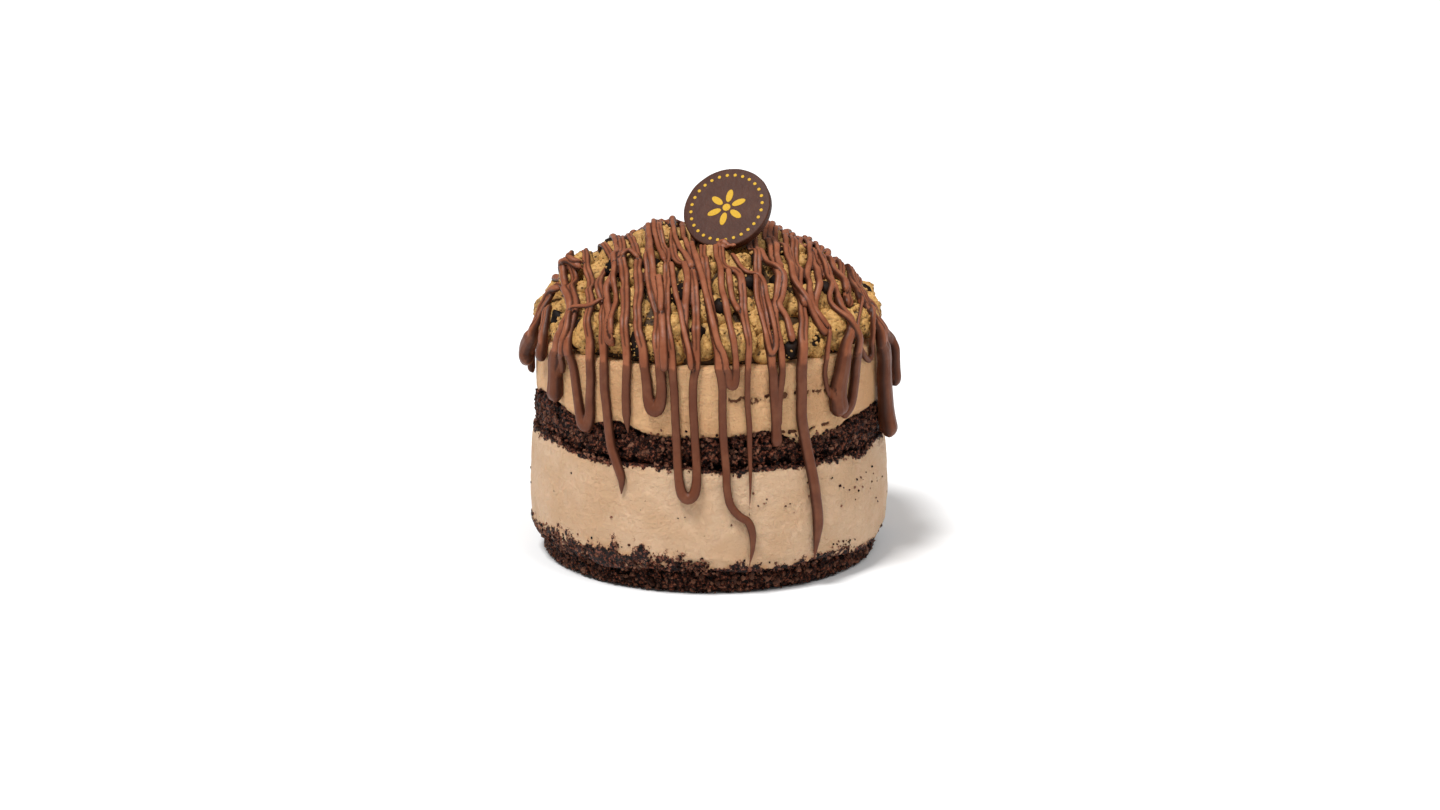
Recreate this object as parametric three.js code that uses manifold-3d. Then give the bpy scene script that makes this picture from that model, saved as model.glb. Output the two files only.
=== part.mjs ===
// Mini chocolate hazelnut ice-cream cake: two chocolate cake layers and two ice-cream layers under
// a heap of cookie dough chunks, with chocolate drizzled from back to front and a chocolate medallion.
// Millimetres, +Z up. The origin is the centre of the flat underside, and the front faces -Y.

import * as THREE from 'three';
import { mergeVertices } from 'three/addons/utils/BufferGeometryUtils.js';
import Module from 'manifold-3d';

const wasm = await Module();
wasm.setup();

// Driving dimensions
const CAKE_RADIUS = 61.2; // wall of the upper ice cream, which carries the heap
const HEAP_HEIGHT = 33; // dough heap above the ice cream, without the drizzle
const GAP = 0.3; // clearance between neighbouring pieces
const SIDE_SEGMENTS = 60; // facets round each layer

// Joints between the layers, from the floor up. Each one swings gently and is ragged round the side.
// Some rise or sink in places, by an amount and over a spread, at a way round the side from the front.
const FLOOR = { height: 0, swing: 0, ragged: 0, clearance: 0, dips: [] };
const BASE_JOINT = { height: 7.5, swing: 0.8, ragged: 1.4, clearance: GAP / 2, dips: [] };
const LOWER_JOINT = {
  height: 44,
  swing: 0.9,
  ragged: 0.8,
  clearance: GAP / 2,
  dips: [
    { around: -68, rise: 3.4, spread: 18 },
    { around: -16, rise: 2.2, spread: 24 },
    { around: 5, rise: -1.6, spread: 6 },
    { around: 62, rise: -1.6, spread: 5 },
  ],
};
const UPPER_JOINT = {
  height: 56,
  swing: 1.0,
  ragged: 0.7,
  clearance: GAP / 2,
  dips: [
    { around: -69, rise: 5.2, spread: 16 },
    { around: -33, rise: 3, spread: 7 },
    { around: 35, rise: -6.5, spread: 8 },
    { around: 47, rise: -3, spread: 6 },
  ],
};
const TOP_JOINT = { height: 80, swing: 0, ragged: 0, clearance: GAP / 2, dips: [] };

// Each layer's side runs from its lower joint to its upper one as radius and share of the height
const LAYERS = [
  {
    name: 'base_cake',
    below: FLOOR,
    above: BASE_JOINT,
    side: [[57.6, 0], [58.8, 0.25], [59.0, 0.6], [58.6, 1]],
    crumb: 1.1,
    colour: '#36190f',
    roughness: 0.95,
  },
  {
    name: 'lower_ice_cream',
    below: BASE_JOINT,
    above: LOWER_JOINT,
    side: [[59.4, 0], [62.0, 0.03], [63.4, 0.14], [64.0, 0.4], [63.6, 0.7], [62.9, 0.92], [62.2, 1]],
    crumb: 0.35,
    colour: '#d8b18d',
    roughness: 0.6,
  },
  {
    name: 'middle_cake',
    below: LOWER_JOINT,
    above: UPPER_JOINT,
    side: [[60.6, 0], [61.2, 0.2], [61.3, 0.5], [61.2, 0.8], [60.6, 1]],
    crumb: 1.2,
    colour: '#341a12',
    roughness: 0.95,
  },
  {
    name: 'upper_ice_cream',
    below: UPPER_JOINT,
    above: TOP_JOINT,
    side: [[60.6, 0], [61.1, 0.07], [61.2, 0.35], [61.2, 0.68], [61.1, 0.95], [60.5, 1]],
    crumb: 0.2,
    colour: '#d6aa7c',
    roughness: 0.6,
  },
];

// The heap's outline bows like a loaf: nearly flat on top and steep at the rim
const CROWN_POWER = 2.6;
const FLANK_POWER = 0.625;
const HEAP_BUMPS = [
  { x: -20, y: -4, rise: 4.5, spread: 13 },
  { x: -50, y: -4, rise: 6.5, spread: 7 },
  { x: 24, y: 2, rise: 3, spread: 9 },
  { x: 45, y: 0, rise: 2, spread: 10 },
  { x: 4, y: 34, rise: 3, spread: 14 },
];
const BUMP_FADE = 9; // the bumps die out over this distance inside the rim
const CUTTER_SIZE = 3 * CAKE_RADIUS; // block that cuts the heap level, wider than the cake
const OUTLINE_STEPS = 120; // fine steps by which the outline's area is shared out
const CORE_INSET = 3; // core of the heap below the outline that the chunks reach
const CORE_SEGMENTS = 24;
const CORE_RINGS = 5;

// Dough chunks: a row round the rim and a spiral over the crown
const CHUNK_RADIUS = 6.4;
const CHUNK_LEAST = 0.85; // size of the smallest chunk for the radius, and how much larger they get
const CHUNK_SPREAD = 0.35;
const SQUEEZE_LEAST = 0.8; // a chunk's depth and height for its width, and how much more they get
const DEPTH_SPREAD = 0.3;
const HEIGHT_SPREAD = 0.2;
const RIM_CHUNKS = 26;
const RIM_CHUNK_HEIGHT = 86;
const RIM_CHUNK_DRIFT = 1; // a rim chunk stands up to this much further in, higher or lower
const RIM_CHUNK_SWAY = 0.3; // uneven share of the way to the next chunk round the rim
const CROWN_CHUNKS = 60;
const CROWN_SHARE = 0.82; // share of the outline's area that the crown's chunks cover
const CHUNK_SUNK = 0.95; // share of its own size that a chunk's middle lies under the outline
const GOLDEN_ANGLE = Math.PI * (3 - Math.sqrt(5));

// Drizzle: how far a strand's middle stands off the chunks, and its thickness for its width
const HEAP_LIFT = 1;
const LIFT_BLEND = 8; // length over which a strand moves out to clear the side
const STRAND_FLATNESS = 0.8;
const STRAND_SIDES = 4;
const HEAP_STEP = 12; // from one section of a strand to the next, on the heap
const SIDE_STEP = 5.5; // and down the side, where it bends more
const PLAN_POINTS = 400; // fine steps from which a strand's even steps are picked
const TIP_SHARE = 0.45; // width of a strand's end for its own width
const CORNER_REACH = 1.12; // corners of the four-sided section stand past the round one
const SWELL_LENGTH = 5; // the drizzle gathers in a fat bead over this length at its lowest point

// Each strand's route runs forward from the middle of the heap. A station is x and how far the
// strand is past the heap's rim: minus while it's still on the heap, plus as it hangs down the
// side. A route that comes back up is a loop. Some hang clear of the side by a stand of their own.
const STRANDS = [
  { width: 4.8, swell: 0.4, stand: 1, route: [[-56, -24], [-58.5, -13], [-60.3, -4], [-60.8, 12]] },
  { width: 3.4, swell: 0.2, route: [[-55, -26], [-56.5, -9], [-55.6, 0], [-55.9, 7]] },
  { width: 4.8, swell: 0.2, route: [[-49.5, -36], [-48.8, -20], [-49, -9], [-50, 0], [-51.3, 19]] },
  {
    width: 3.3,
    swell: 0.3,
    loop: true,
    route: [
      [-47.5, -38], [-47, -5], [-45.6, 1], [-44.3, 12], [-43, 21], [-41.2, 26.5],
      [-39.2, 20], [-39.5, 11], [-40.3, 0], [-42.2, -11], [-43.7, -40],
    ],
  },
  { width: 3, swell: 0.3, route: [[-39, -45], [-37.3, -11], [-36, 0], [-33.7, 13], [-33.5, 28], [-28, 45]] },
  { width: 4.6, swell: 0, route: [[-34.5, -49], [-33.6, -11], [-32.7, -2]] },
  { width: 2.8, swell: 0.3, route: [[-30.8, -51], [-28.3, -24], [-27.6, 0], [-26.7, 12], [-26.7, 22]] },
  {
    width: 3.4,
    swell: 0.3,
    loop: true,
    route: [
      [-26, -54], [-25.5, -24], [-24.4, -3], [-21.4, 1], [-19.8, 11], [-17.4, 17.5],
      [-15.3, 11], [-16.1, 1], [-17.6, -4], [-20, -24], [-22, -56],
    ],
  },
  {
    width: 3.4,
    swell: 0.6,
    loop: true,
    route: [
      [-17, -57], [-14.7, -11], [-12.6, 1], [-11.3, 11], [-11.1, 25], [-10, 38], [-6.6, 44.5],
      [-3.8, 38], [-4.9, 24], [-4.8, 2], [-6.3, -11], [-8.7, -59],
    ],
  },
  { width: 4, swell: 0.1, route: [[-12, -59], [-9, -26], [-7.5, -8], [-5, 1]] },
  {
    width: 3.4,
    swell: 0.2,
    route: [
      [-3.8, -60], [-2.9, -15], [0.4, -4], [3, 1], [4.3, 24], [4.9, 43],
      [7.5, 50], [11.5, 53], [14.3, 60], [13.4, 68],
    ],
  },
  { width: 4.8, swell: 0.2, route: [[1, -60], [2.8, -13], [5.9, -2], [7.9, 7]] },
  {
    width: 2,
    swell: 0,
    route: [[5.5, -60], [9.9, -22], [11, -12], [13.2, 0], [12.9, 8], [13.3, 25], [12.6, 47]],
  },
  { width: 4.8, swell: 0, route: [[12.5, -59], [17.6, -20], [20, -5], [21.5, -1]] },
  { width: 4.4, swell: 0.1, route: [[19, -57], [22, -11], [22.8, 0], [22.4, 15], [22.6, 28]] },
  { width: 3.2, swell: 0.1, route: [[24.5, -55], [24.9, -19], [26.7, -8], [27.5, -1.5]] },
  {
    width: 3.6,
    swell: 0.2,
    route: [[30, -52], [31.1, -19], [32.4, -5], [31.2, 1], [30.4, 13], [32.9, 34], [34, 55], [34.6, 68]],
  },
  { width: 3, swell: 0, route: [[34, -50], [35.2, -25], [37, -8], [40.5, -2]] },
  {
    width: 4.2,
    swell: 0.3,
    loop: true,
    route: [
      [40.5, -45], [42.3, -7], [45.6, 1], [44.4, 8], [41.6, 16], [43.8, 22],
      [47.4, 17], [48.6, 9], [48.9, 0], [48.2, -6], [45.5, -40],
    ],
  },
  { width: 4.6, swell: 0.1, route: [[49.5, -36], [52, -12], [53.4, -2], [54.3, 7]] },
  {
    width: 4.8,
    swell: 0.5,
    route: [[53.5, -29], [54.5, -16], [56.2, -1], [57.6, 8], [58.4, 22], [58.8, 34]],
  },
  { width: 5, swell: 0.35, stand: 2, route: [[57.5, -20], [59, -10], [60.6, 0], [60.9, 12], [60.8, 23]] },
];

// Behind, the strands run on over the far side and end at uneven depths
const BACK_DROP_LEAST = 4;
const BACK_DROP_SPREAD = 34;
const BACK_DRIFT = 2.5;
const BACK_SHARE = 0.6; // share of the strands that reach the far rim
const CROWN_PAST = 12; // and the others end this far behind the middle
const BACK_REACH = 60.5; // strands at the sides stay within this of the middle

// The side's bulge at the lower ice cream, which the drizzle follows: full below one height and
// gone above the other
const BULGE = 2.8;
const BULGE_FULL = 34;
const BULGE_GONE = 56;

// Chocolate medallion that stands in the top of the heap and leans back
const MEDALLION_RADIUS = 15.7;
const MEDALLION_THICKNESS = 3;
const MEDALLION_EDGE = 0.5;
const MEDALLION_SEGMENTS = 32;
const MEDALLION_FACE = new THREE.Vector3(6.2, -8, 124.3);
const MEDALLION_VIEW = 3.5; // the drizzle keeps this far from the face, so that the face shows whole
const MEDALLION_LEAN = THREE.MathUtils.degToRad(40);
const MEDALLION_TURN = THREE.MathUtils.degToRad(22);

// Repeatable unevenness from 0 to 1 for the nth piece of a kind
function uneven(n, kind = 0) {
  const value = Math.sin(n * 12.9898 + kind * 78.233) * 43758.5453;
  return value - Math.floor(value);
}

function smoothstep(from, to, value) {
  const share = THREE.MathUtils.clamp((value - from) / (to - from), 0, 1);
  return share * share * (3 - 2 * share);
}

// Height of a joint at a facet of the side. The swing fades towards the middle of the cake.
function jointHeight(joint, segment, radius) {
  const angle = (segment / SIDE_SEGMENTS) * 2 * Math.PI;
  const slow = 0.6 * Math.sin(3 * angle + joint.height) + 0.4 * Math.sin(7 * angle + 2 * joint.height);
  const quick = 2 * uneven(segment, joint.height) - 1;
  const around = (angle > Math.PI ? angle - 2 * Math.PI : angle) * CAKE_RADIUS;
  const dips = joint.dips.map((dip) => dip.rise * Math.exp(-(((around - dip.around) / dip.spread) ** 2)));
  const rise = joint.swing * slow + (joint.ragged / 2) * quick + dips.reduce((sum, dip) => sum + dip, 0);
  return joint.height + rise * (radius / CAKE_RADIUS);
}

// A layer is a lathe whose facets are then set between its two joints, with crumb pits in its side
function layerGeometry({ below, above, side, crumb }) {
  const profile = [[0, 0], ...side, [0, 1]].map(([radius, share]) => new THREE.Vector2(radius, share));
  const geometry = new THREE.LatheGeometry(profile, SIDE_SEGMENTS);
  geometry.rotateX(Math.PI / 2);
  const position = geometry.attributes.position;
  for (let i = 0; i < position.count; i += 1) {
    const ring = i % profile.length;
    const segment = Math.floor(i / profile.length) % SIDE_SEGMENTS;
    const { x: radius, y: share } = profile[ring];
    const pit = radius > 0 ? crumb * uneven(segment + ring * SIDE_SEGMENTS, below.height + 1) : 0;
    const shrink = radius > 0 ? (radius - pit) / radius : 1;
    const low = jointHeight(below, segment, radius - pit) + below.clearance;
    const high = jointHeight(above, segment, radius - pit) - above.clearance;
    position.setXYZ(i, position.getX(i) * shrink, position.getY(i) * shrink, low + (high - low) * share);
  }
  return geometry;
}

// Even outline of the heap as height over radius, its bumpy top, and its outward slope
function domeHeight(radius) {
  const share = Math.min(radius / CAKE_RADIUS, 1);
  return TOP_JOINT.height + HEAP_HEIGHT * (1 - share ** CROWN_POWER) ** FLANK_POWER;
}

function heapHeight(x, y) {
  const radius = Math.hypot(x, y);
  const inside = THREE.MathUtils.clamp((CAKE_RADIUS - radius) / BUMP_FADE, 0, 1);
  const bumps = HEAP_BUMPS.map((bump) => {
    const away = Math.hypot(x - bump.x, y - bump.y) / bump.spread;
    return bump.rise * Math.exp(-(away ** 2));
  });
  return domeHeight(radius) + inside * bumps.reduce((sum, rise) => sum + rise, 0);
}

function heapNormal(x, y) {
  const radius = Math.hypot(x, y);
  const share = Math.min(radius / CAKE_RADIUS, 0.999);
  const fall = (HEAP_HEIGHT * FLANK_POWER * CROWN_POWER * share ** (CROWN_POWER - 1))
    / (CAKE_RADIUS * (1 - share ** CROWN_POWER) ** (1 - FLANK_POWER));
  const outward = radius > 0 ? fall / radius : 0;
  return new THREE.Vector3(x * outward, y * outward, 1).normalize();
}

// Radius on the heap's outline that has the given share of the outline's area inside it
function heapRadiusFor(areaShare) {
  const areas = [0];
  for (let i = 1; i <= OUTLINE_STEPS; i += 1) {
    const inner = ((i - 1) / OUTLINE_STEPS) * CAKE_RADIUS;
    const outer = (i / OUTLINE_STEPS) * CAKE_RADIUS;
    const slant = Math.hypot(outer - inner, domeHeight(outer) - domeHeight(inner));
    areas.push(areas[i - 1] + slant * (inner + outer));
  }
  const wanted = areaShare * areas[OUTLINE_STEPS];
  const next = areas.findIndex((area) => area >= wanted);
  const part = (wanted - areas[next - 1]) / (areas[next] - areas[next - 1]);
  return ((next - 1 + part) / OUTLINE_STEPS) * CAKE_RADIUS;
}

function solidOf(geometry) {
  const bare = geometry.clone();
  bare.deleteAttribute('normal');
  bare.deleteAttribute('uv');
  const merged = mergeVertices(bare, 1e-4);
  return new wasm.Manifold(new wasm.Mesh({
    numProp: 3,
    vertProperties: new Float32Array(merged.attributes.position.array),
    triVerts: new Uint32Array(merged.index.array),
  }));
}

function geometryOf(solid) {
  const { numProp, vertProperties, triVerts } = solid.getMesh();
  const geometry = new THREE.BufferGeometry();
  geometry.setAttribute('position', new THREE.BufferAttribute(new Float32Array(vertProperties), numProp));
  geometry.setIndex(new THREE.BufferAttribute(new Uint32Array(triVerts), 1));
  geometry.computeVertexNormals();
  return geometry;
}

// The core is the heap's outline drawn in on all sides, with a flat underside on the ice cream
function heapCore() {
  const floor = TOP_JOINT.height + GAP / 2;
  const spread = 1 - CORE_INSET / CAKE_RADIUS;
  const rise = 1 - CORE_INSET / HEAP_HEIGHT;
  const profile = [new THREE.Vector2(0, floor)];
  for (let i = 0; i <= CORE_RINGS; i += 1) {
    const radius = CAKE_RADIUS * Math.cos((i / CORE_RINGS) * (Math.PI / 2));
    const height = floor + (domeHeight(radius) - TOP_JOINT.height) * rise;
    profile.push(new THREE.Vector2(i < CORE_RINGS ? radius * spread : 0, height));
  }
  return new THREE.LatheGeometry(profile, CORE_SEGMENTS).rotateX(Math.PI / 2);
}

const chunkSize = (number) => CHUNK_RADIUS * (CHUNK_LEAST + CHUNK_SPREAD * uneven(number, 1));

// An angular chunk of dough, turned and squeezed unevenly
function chunk(number, place) {
  const geometry = new THREE.IcosahedronGeometry(chunkSize(number), 0);
  const depth = SQUEEZE_LEAST + DEPTH_SPREAD * uneven(number, 2);
  const height = SQUEEZE_LEAST + HEIGHT_SPREAD * uneven(number, 3);
  geometry.scale(1, depth, height);
  geometry.rotateX(2 * Math.PI * uneven(number, 4));
  geometry.rotateZ(2 * Math.PI * uneven(number, 5));
  return geometry.translate(place.x, place.y, place.z);
}

function chunks() {
  const pieces = [];
  for (let i = 0; i < RIM_CHUNKS; i += 1) {
    const angle = ((i + RIM_CHUNK_SWAY * uneven(i, 6)) / RIM_CHUNKS) * 2 * Math.PI;
    const radius = CAKE_RADIUS - CHUNK_SUNK * chunkSize(i) - RIM_CHUNK_DRIFT * uneven(i, 7);
    const height = RIM_CHUNK_HEIGHT + RIM_CHUNK_DRIFT * (2 * uneven(i, 8) - 1);
    pieces.push(chunk(i, new THREE.Vector3(radius * Math.cos(angle), radius * Math.sin(angle), height)));
  }
  for (let i = 0; i < CROWN_CHUNKS; i += 1) {
    const number = RIM_CHUNKS + i;
    const angle = i * GOLDEN_ANGLE;
    const radius = heapRadiusFor((CROWN_SHARE * (i + 0.5)) / CROWN_CHUNKS);
    const place = new THREE.Vector3(radius * Math.cos(angle), radius * Math.sin(angle), 0);
    place.z = heapHeight(place.x, place.y);
    place.addScaledVector(heapNormal(place.x, place.y), -CHUNK_SUNK * chunkSize(number));
    pieces.push(chunk(number, place));
  }
  return pieces;
}

// Radius of the cake's side at a height, with the lower ice cream's bulge
function wallRadius(height) {
  return CAKE_RADIUS + BULGE * (1 - smoothstep(BULGE_FULL, BULGE_GONE, height));
}

const rimDepth = (x) => Math.sqrt(CAKE_RADIUS ** 2 - x ** 2);

// A place on the outside of the cake, the way out from it, and how far it is past the rim. The run
// is y on the heap, and past the rim it goes on as the drop down the side.
function surfaceAt(x, run) {
  const past = Math.abs(run) - rimDepth(x);
  if (past < 0) {
    return { place: new THREE.Vector3(x, run, heapHeight(x, run)), outward: heapNormal(x, run), past };
  }
  const outward = new THREE.Vector3(x, Math.sign(run) * rimDepth(x), 0).normalize();
  const height = TOP_JOINT.height - past;
  return { place: outward.clone().multiplyScalar(wallRadius(height)).setZ(height), outward, past };
}

const forward = ([x, past]) => new THREE.Vector3(x, -(rimDepth(x) + past), 0);
const backward = ([x, past]) => new THREE.Vector3(x, rimDepth(x) + past, 0);

// The far end of a strand that crosses the middle of the heap at x. Some run on over the far side,
// and the others end just behind the crown.
function backRoute(x) {
  if (uneven(Math.round(x), 12) > BACK_SHARE) {
    return [[x, CROWN_PAST - rimDepth(x)]].map(backward);
  }
  const drop = BACK_DROP_LEAST + BACK_DROP_SPREAD * uneven(Math.round(x), 9) ** 2;
  const kept = (place) => THREE.MathUtils.clamp(place, -BACK_REACH, BACK_REACH);
  const rimX = kept(x + BACK_DRIFT * (2 * uneven(Math.round(x), 10) - 1));
  const endX = kept(rimX + BACK_DRIFT * (uneven(Math.round(x), 11) - 0.5));
  return [[(x + rimX) / 2, -rimDepth(x) / 2], [rimX, 0], [endX, drop]].map(backward);
}

// A strand's middle line, evenly stepped, with the way out of the cake at each step
function strandLine({ width, loop, stand = 0, route }) {
  const start = backRoute(route[0][0]).reverse();
  const end = loop ? backRoute(route.at(-1)[0]) : [];
  const plan = new THREE.CatmullRomCurve3([...start, ...route.map(forward), ...end], false, 'centripetal');
  const traced = plan.getPoints(PLAN_POINTS).map(({ x, y }) => {
    const { place, outward, past } = surfaceAt(x, y);
    const sideLift = (width * STRAND_FLATNESS) / 2 + GAP;
    const lift = THREE.MathUtils.lerp(HEAP_LIFT, sideLift, smoothstep(-LIFT_BLEND, 0, past))
      + stand * smoothstep(0, LIFT_BLEND, past);
    return { place: place.addScaledVector(outward, lift), outward, past };
  });
  const stepsTo = [0];
  for (let i = 1; i < traced.length; i += 1) {
    const length = traced[i].place.distanceTo(traced[i - 1].place);
    const stepLength = traced[i].past < 0 ? HEAP_STEP : SIDE_STEP;
    stepsTo.push(stepsTo[i - 1] + length / stepLength);
  }
  const steps = Math.round(stepsTo.at(-1));
  return Array.from({ length: steps + 1 }, (_, step) => {
    const wanted = (step / steps) * stepsTo.at(-1);
    const next = Math.max(stepsTo.findIndex((count) => count >= wanted), 1);
    const part = (wanted - stepsTo[next - 1]) / (stepsTo[next] - stepsTo[next - 1]);
    return {
      place: traced[next - 1].place.clone().lerp(traced[next].place, part),
      outward: traced[next - 1].outward.clone().lerp(traced[next].outward, part).normalize(),
    };
  });
}

// A strand is a closed cylinder bent along its line. It is flattened against the cake, gathers in
// a bead at its lowest point in front, and draws in to a blunt tip at each end.
function strand(shape) {
  const line = strandLine(shape);
  const steps = line.length - 1;
  const lowest = Math.min(...line.filter(({ place }) => place.y < 0).map(({ place }) => place.z));
  const geometry = new THREE.CylinderGeometry(1, 1, 1, STRAND_SIDES, steps, false, Math.PI / STRAND_SIDES);
  const position = geometry.attributes.position;
  for (let i = 0; i < position.count; i += 1) {
    const step = Math.round((0.5 - position.getY(i)) * steps);
    const { place, outward } = line[step];
    const before = line[Math.max(step - 1, 0)].place;
    const after = line[Math.min(step + 1, steps)].place;
    const along = after.clone().sub(before).normalize();
    const across = new THREE.Vector3().crossVectors(outward, along).normalize();
    const out = new THREE.Vector3().crossVectors(along, across);
    const depth = place.y < 0 ? (place.z - lowest) / SWELL_LENGTH : Infinity;
    const bead = 1 + shape.swell * Math.exp(-depth);
    const tip = step === 0 || step === steps ? TIP_SHARE : 1;
    const halfWidth = (shape.width / 2) * bead * tip * CORNER_REACH;
    const point = place.clone()
      .addScaledVector(across, position.getX(i) * halfWidth)
      .addScaledVector(out, position.getZ(i) * halfWidth * STRAND_FLATNESS);
    position.setXYZ(i, point.x, point.y, point.z);
  }
  return geometry;
}

// A disc with softly broken edges, in its own frame with the face up
function discGeometry(radius, thickness) {
  const inner = radius - MEDALLION_EDGE;
  const shoulder = thickness / 2 - MEDALLION_EDGE;
  const profile = [
    [0, -thickness / 2], [inner, -thickness / 2], [radius, -shoulder],
    [radius, shoulder], [inner, thickness / 2], [0, thickness / 2],
  ].map(([x, y]) => new THREE.Vector2(x, y));
  return new THREE.LatheGeometry(profile, MEDALLION_SEGMENTS).rotateX(Math.PI / 2);
}

// The medallion's place: its face turned to the left of the front and leaning back from upright
function medallionPlace() {
  const turn = new THREE.Matrix4().makeRotationZ(-MEDALLION_TURN);
  const lean = new THREE.Matrix4().makeRotationX(Math.PI / 2 - MEDALLION_LEAN);
  const stand = turn.multiply(lean);
  const faceDepth = new THREE.Vector3(0, 0, -MEDALLION_THICKNESS / 2).applyMatrix4(stand);
  return stand.setPosition(MEDALLION_FACE.clone().add(faceDepth));
}

function medallionGeometry() {
  return discGeometry(MEDALLION_RADIUS, MEDALLION_THICKNESS).applyMatrix4(medallionPlace());
}

// Room for the medallion in the heap: its clearance all round, and more before its face
function medallionRoom() {
  const room = discGeometry(MEDALLION_RADIUS + GAP, MEDALLION_THICKNESS + GAP + MEDALLION_VIEW);
  return room.translate(0, 0, (MEDALLION_VIEW - GAP) / 2).applyMatrix4(medallionPlace());
}

// The dough, its chunks and the drizzle set as one piece. The chunks are cut level with the ice
// cream's top, and the medallion's edge is let into the heap with its clearance.
function heapGeometry() {
  const iceSide = new THREE.BoxGeometry(CUTTER_SIZE, CUTTER_SIZE, CUTTER_SIZE);
  iceSide.translate(0, 0, TOP_JOINT.height + GAP / 2 - CUTTER_SIZE / 2);
  let heap = solidOf(heapCore());
  for (const piece of chunks()) {
    heap = heap.add(solidOf(piece));
  }
  heap = heap.subtract(solidOf(iceSide));
  for (const shape of STRANDS) {
    heap = heap.add(solidOf(strand(shape)));
  }
  heap = heap.subtract(solidOf(medallionRoom()));
  const bodies = heap.decompose().sort((a, b) => b.volume() - a.volume());
  return geometryOf(bodies[0]);
}

function finish(colour, roughness) {
  return new THREE.MeshStandardMaterial({ color: colour, roughness, metalness: 0 });
}

function named(name, geometry, material) {
  const mesh = new THREE.Mesh(geometry, material);
  mesh.name = name;
  return mesh;
}

const cake = new THREE.Group();
for (const layer of LAYERS) {
  cake.add(named(layer.name, layerGeometry(layer), finish(layer.colour, layer.roughness)));
}
cake.add(named('topping_heap', heapGeometry(), finish('#8a5a3f', 0.55)));
cake.add(named('medallion', medallionGeometry(), finish('#5f4138', 0.45)));

export default cake;
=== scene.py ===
"""Dresses the mini chocolate hazelnut cake: two cake and two ice-cream layers, dough and drizzle.

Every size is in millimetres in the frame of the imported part, +Z up with the front facing -Y. A mesh
is worked in millimetres and brought to metres when it is finished.
"""

import logging
import math
from dataclasses import dataclass, field, replace
from enum import Enum
from functools import lru_cache
from typing import NamedTuple

import bmesh
import bpy
import numpy as np
from mathutils import Matrix, Vector, noise
from mathutils.bvhtree import BVHTree
from mathutils.kdtree import KDTree


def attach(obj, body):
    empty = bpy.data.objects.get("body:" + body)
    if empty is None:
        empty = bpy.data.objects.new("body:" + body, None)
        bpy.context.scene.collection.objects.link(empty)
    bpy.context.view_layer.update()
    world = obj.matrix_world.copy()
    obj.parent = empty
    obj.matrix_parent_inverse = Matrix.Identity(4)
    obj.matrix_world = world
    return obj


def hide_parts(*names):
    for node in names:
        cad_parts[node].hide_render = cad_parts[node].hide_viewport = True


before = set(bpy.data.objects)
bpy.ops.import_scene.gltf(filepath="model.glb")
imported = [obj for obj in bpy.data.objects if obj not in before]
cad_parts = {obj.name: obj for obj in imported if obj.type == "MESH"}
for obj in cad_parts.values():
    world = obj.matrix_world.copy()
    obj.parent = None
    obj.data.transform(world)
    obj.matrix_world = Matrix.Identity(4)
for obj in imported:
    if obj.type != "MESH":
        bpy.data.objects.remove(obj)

logging.basicConfig(level=logging.INFO, format="%(message)s")
LOG = logging.getLogger("cake")
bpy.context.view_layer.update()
MM = 0.001

Body = bmesh.types.BMesh
Mesh = bpy.types.Mesh
Socket = bpy.types.NodeSocket
Pairs = tuple[tuple[float, float], ...]

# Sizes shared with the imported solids
CAKE_RADIUS = 61.2
ICE_TOP = 80.0
HEAP_HEIGHT = 33.0
CROWN_POWER = 2.6
FLANK_POWER = 0.625
HEAP_BUMPS = ((-20, -4, 4.5, 13), (-50, -4, 6.5, 7), (24, 2, 3, 9), (45, 0, 2, 10), (4, 34, 3, 14))
BUMP_FADE = 9.0
SIDE_FACETS = 60
BULGE = 2.8
BULGE_FULL = 34.0
BULGE_GONE = 56.0
BACK_REACH = 60.5
CHUNK_RADIUS = 6.4
CHUNK_SUNK = 0.95
RIM_CHUNKS = 26
RIM_CHUNK_HEIGHT = 86.0
CROWN_CHUNKS = 60
CROWN_SHARE = 0.82
GOLDEN_ANGLE = math.pi * (3 - math.sqrt(5))


def uneven(number: float, kind: float = 0) -> float:
    """Repeatable unevenness from 0 to 1 for the nth piece of a kind, as in the solids."""
    value = math.sin(number * 12.9898 + kind * 78.233) * 43758.5453
    return value - math.floor(value)


def smoothstep(low: float, high: float, value: float) -> float:
    """Smooth share of the way from low to high."""
    share = min(max((value - low) / (high - low), 0), 1)
    return share * share * (3 - 2 * share)


def ripple(place: Vector, size: float, seed: float = 0, octaves: int = 3) -> float:
    """Smooth noise from about -1 to 1.

    Args:
        place: where, in millimetres.
        size: how far apart its humps are, in millimetres.
        seed: shifts the noise, so that pieces differ.
        octaves: how many finer layers it has.

    Returns:
        The noise there.
    """
    return noise.fractal(place / size + Vector((seed, 0, seed)), 1.0, 2.0, octaves)


def around(radius: float, angle: float) -> tuple[float, float]:
    """The x and y of a place by its radius and angle."""
    return radius * math.cos(angle), radius * math.sin(angle)


def dome_height(radius: float) -> float:
    """Height of the heap's even outline at a radius."""
    share = min(radius / CAKE_RADIUS, 1)
    return ICE_TOP + HEAP_HEIGHT * (1 - share**CROWN_POWER) ** FLANK_POWER


def heap_height(x: float, y: float) -> float:
    """Height of the heap's bumpy outline."""
    radius = math.hypot(x, y)
    inside = min(max((CAKE_RADIUS - radius) / BUMP_FADE, 0), 1)
    bumps = sum(
        rise * math.exp(-(math.hypot(x - at_x, y - at_y) / spread) ** 2)
        for at_x, at_y, rise, spread in HEAP_BUMPS
    )
    return dome_height(radius) + inside * bumps


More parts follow.
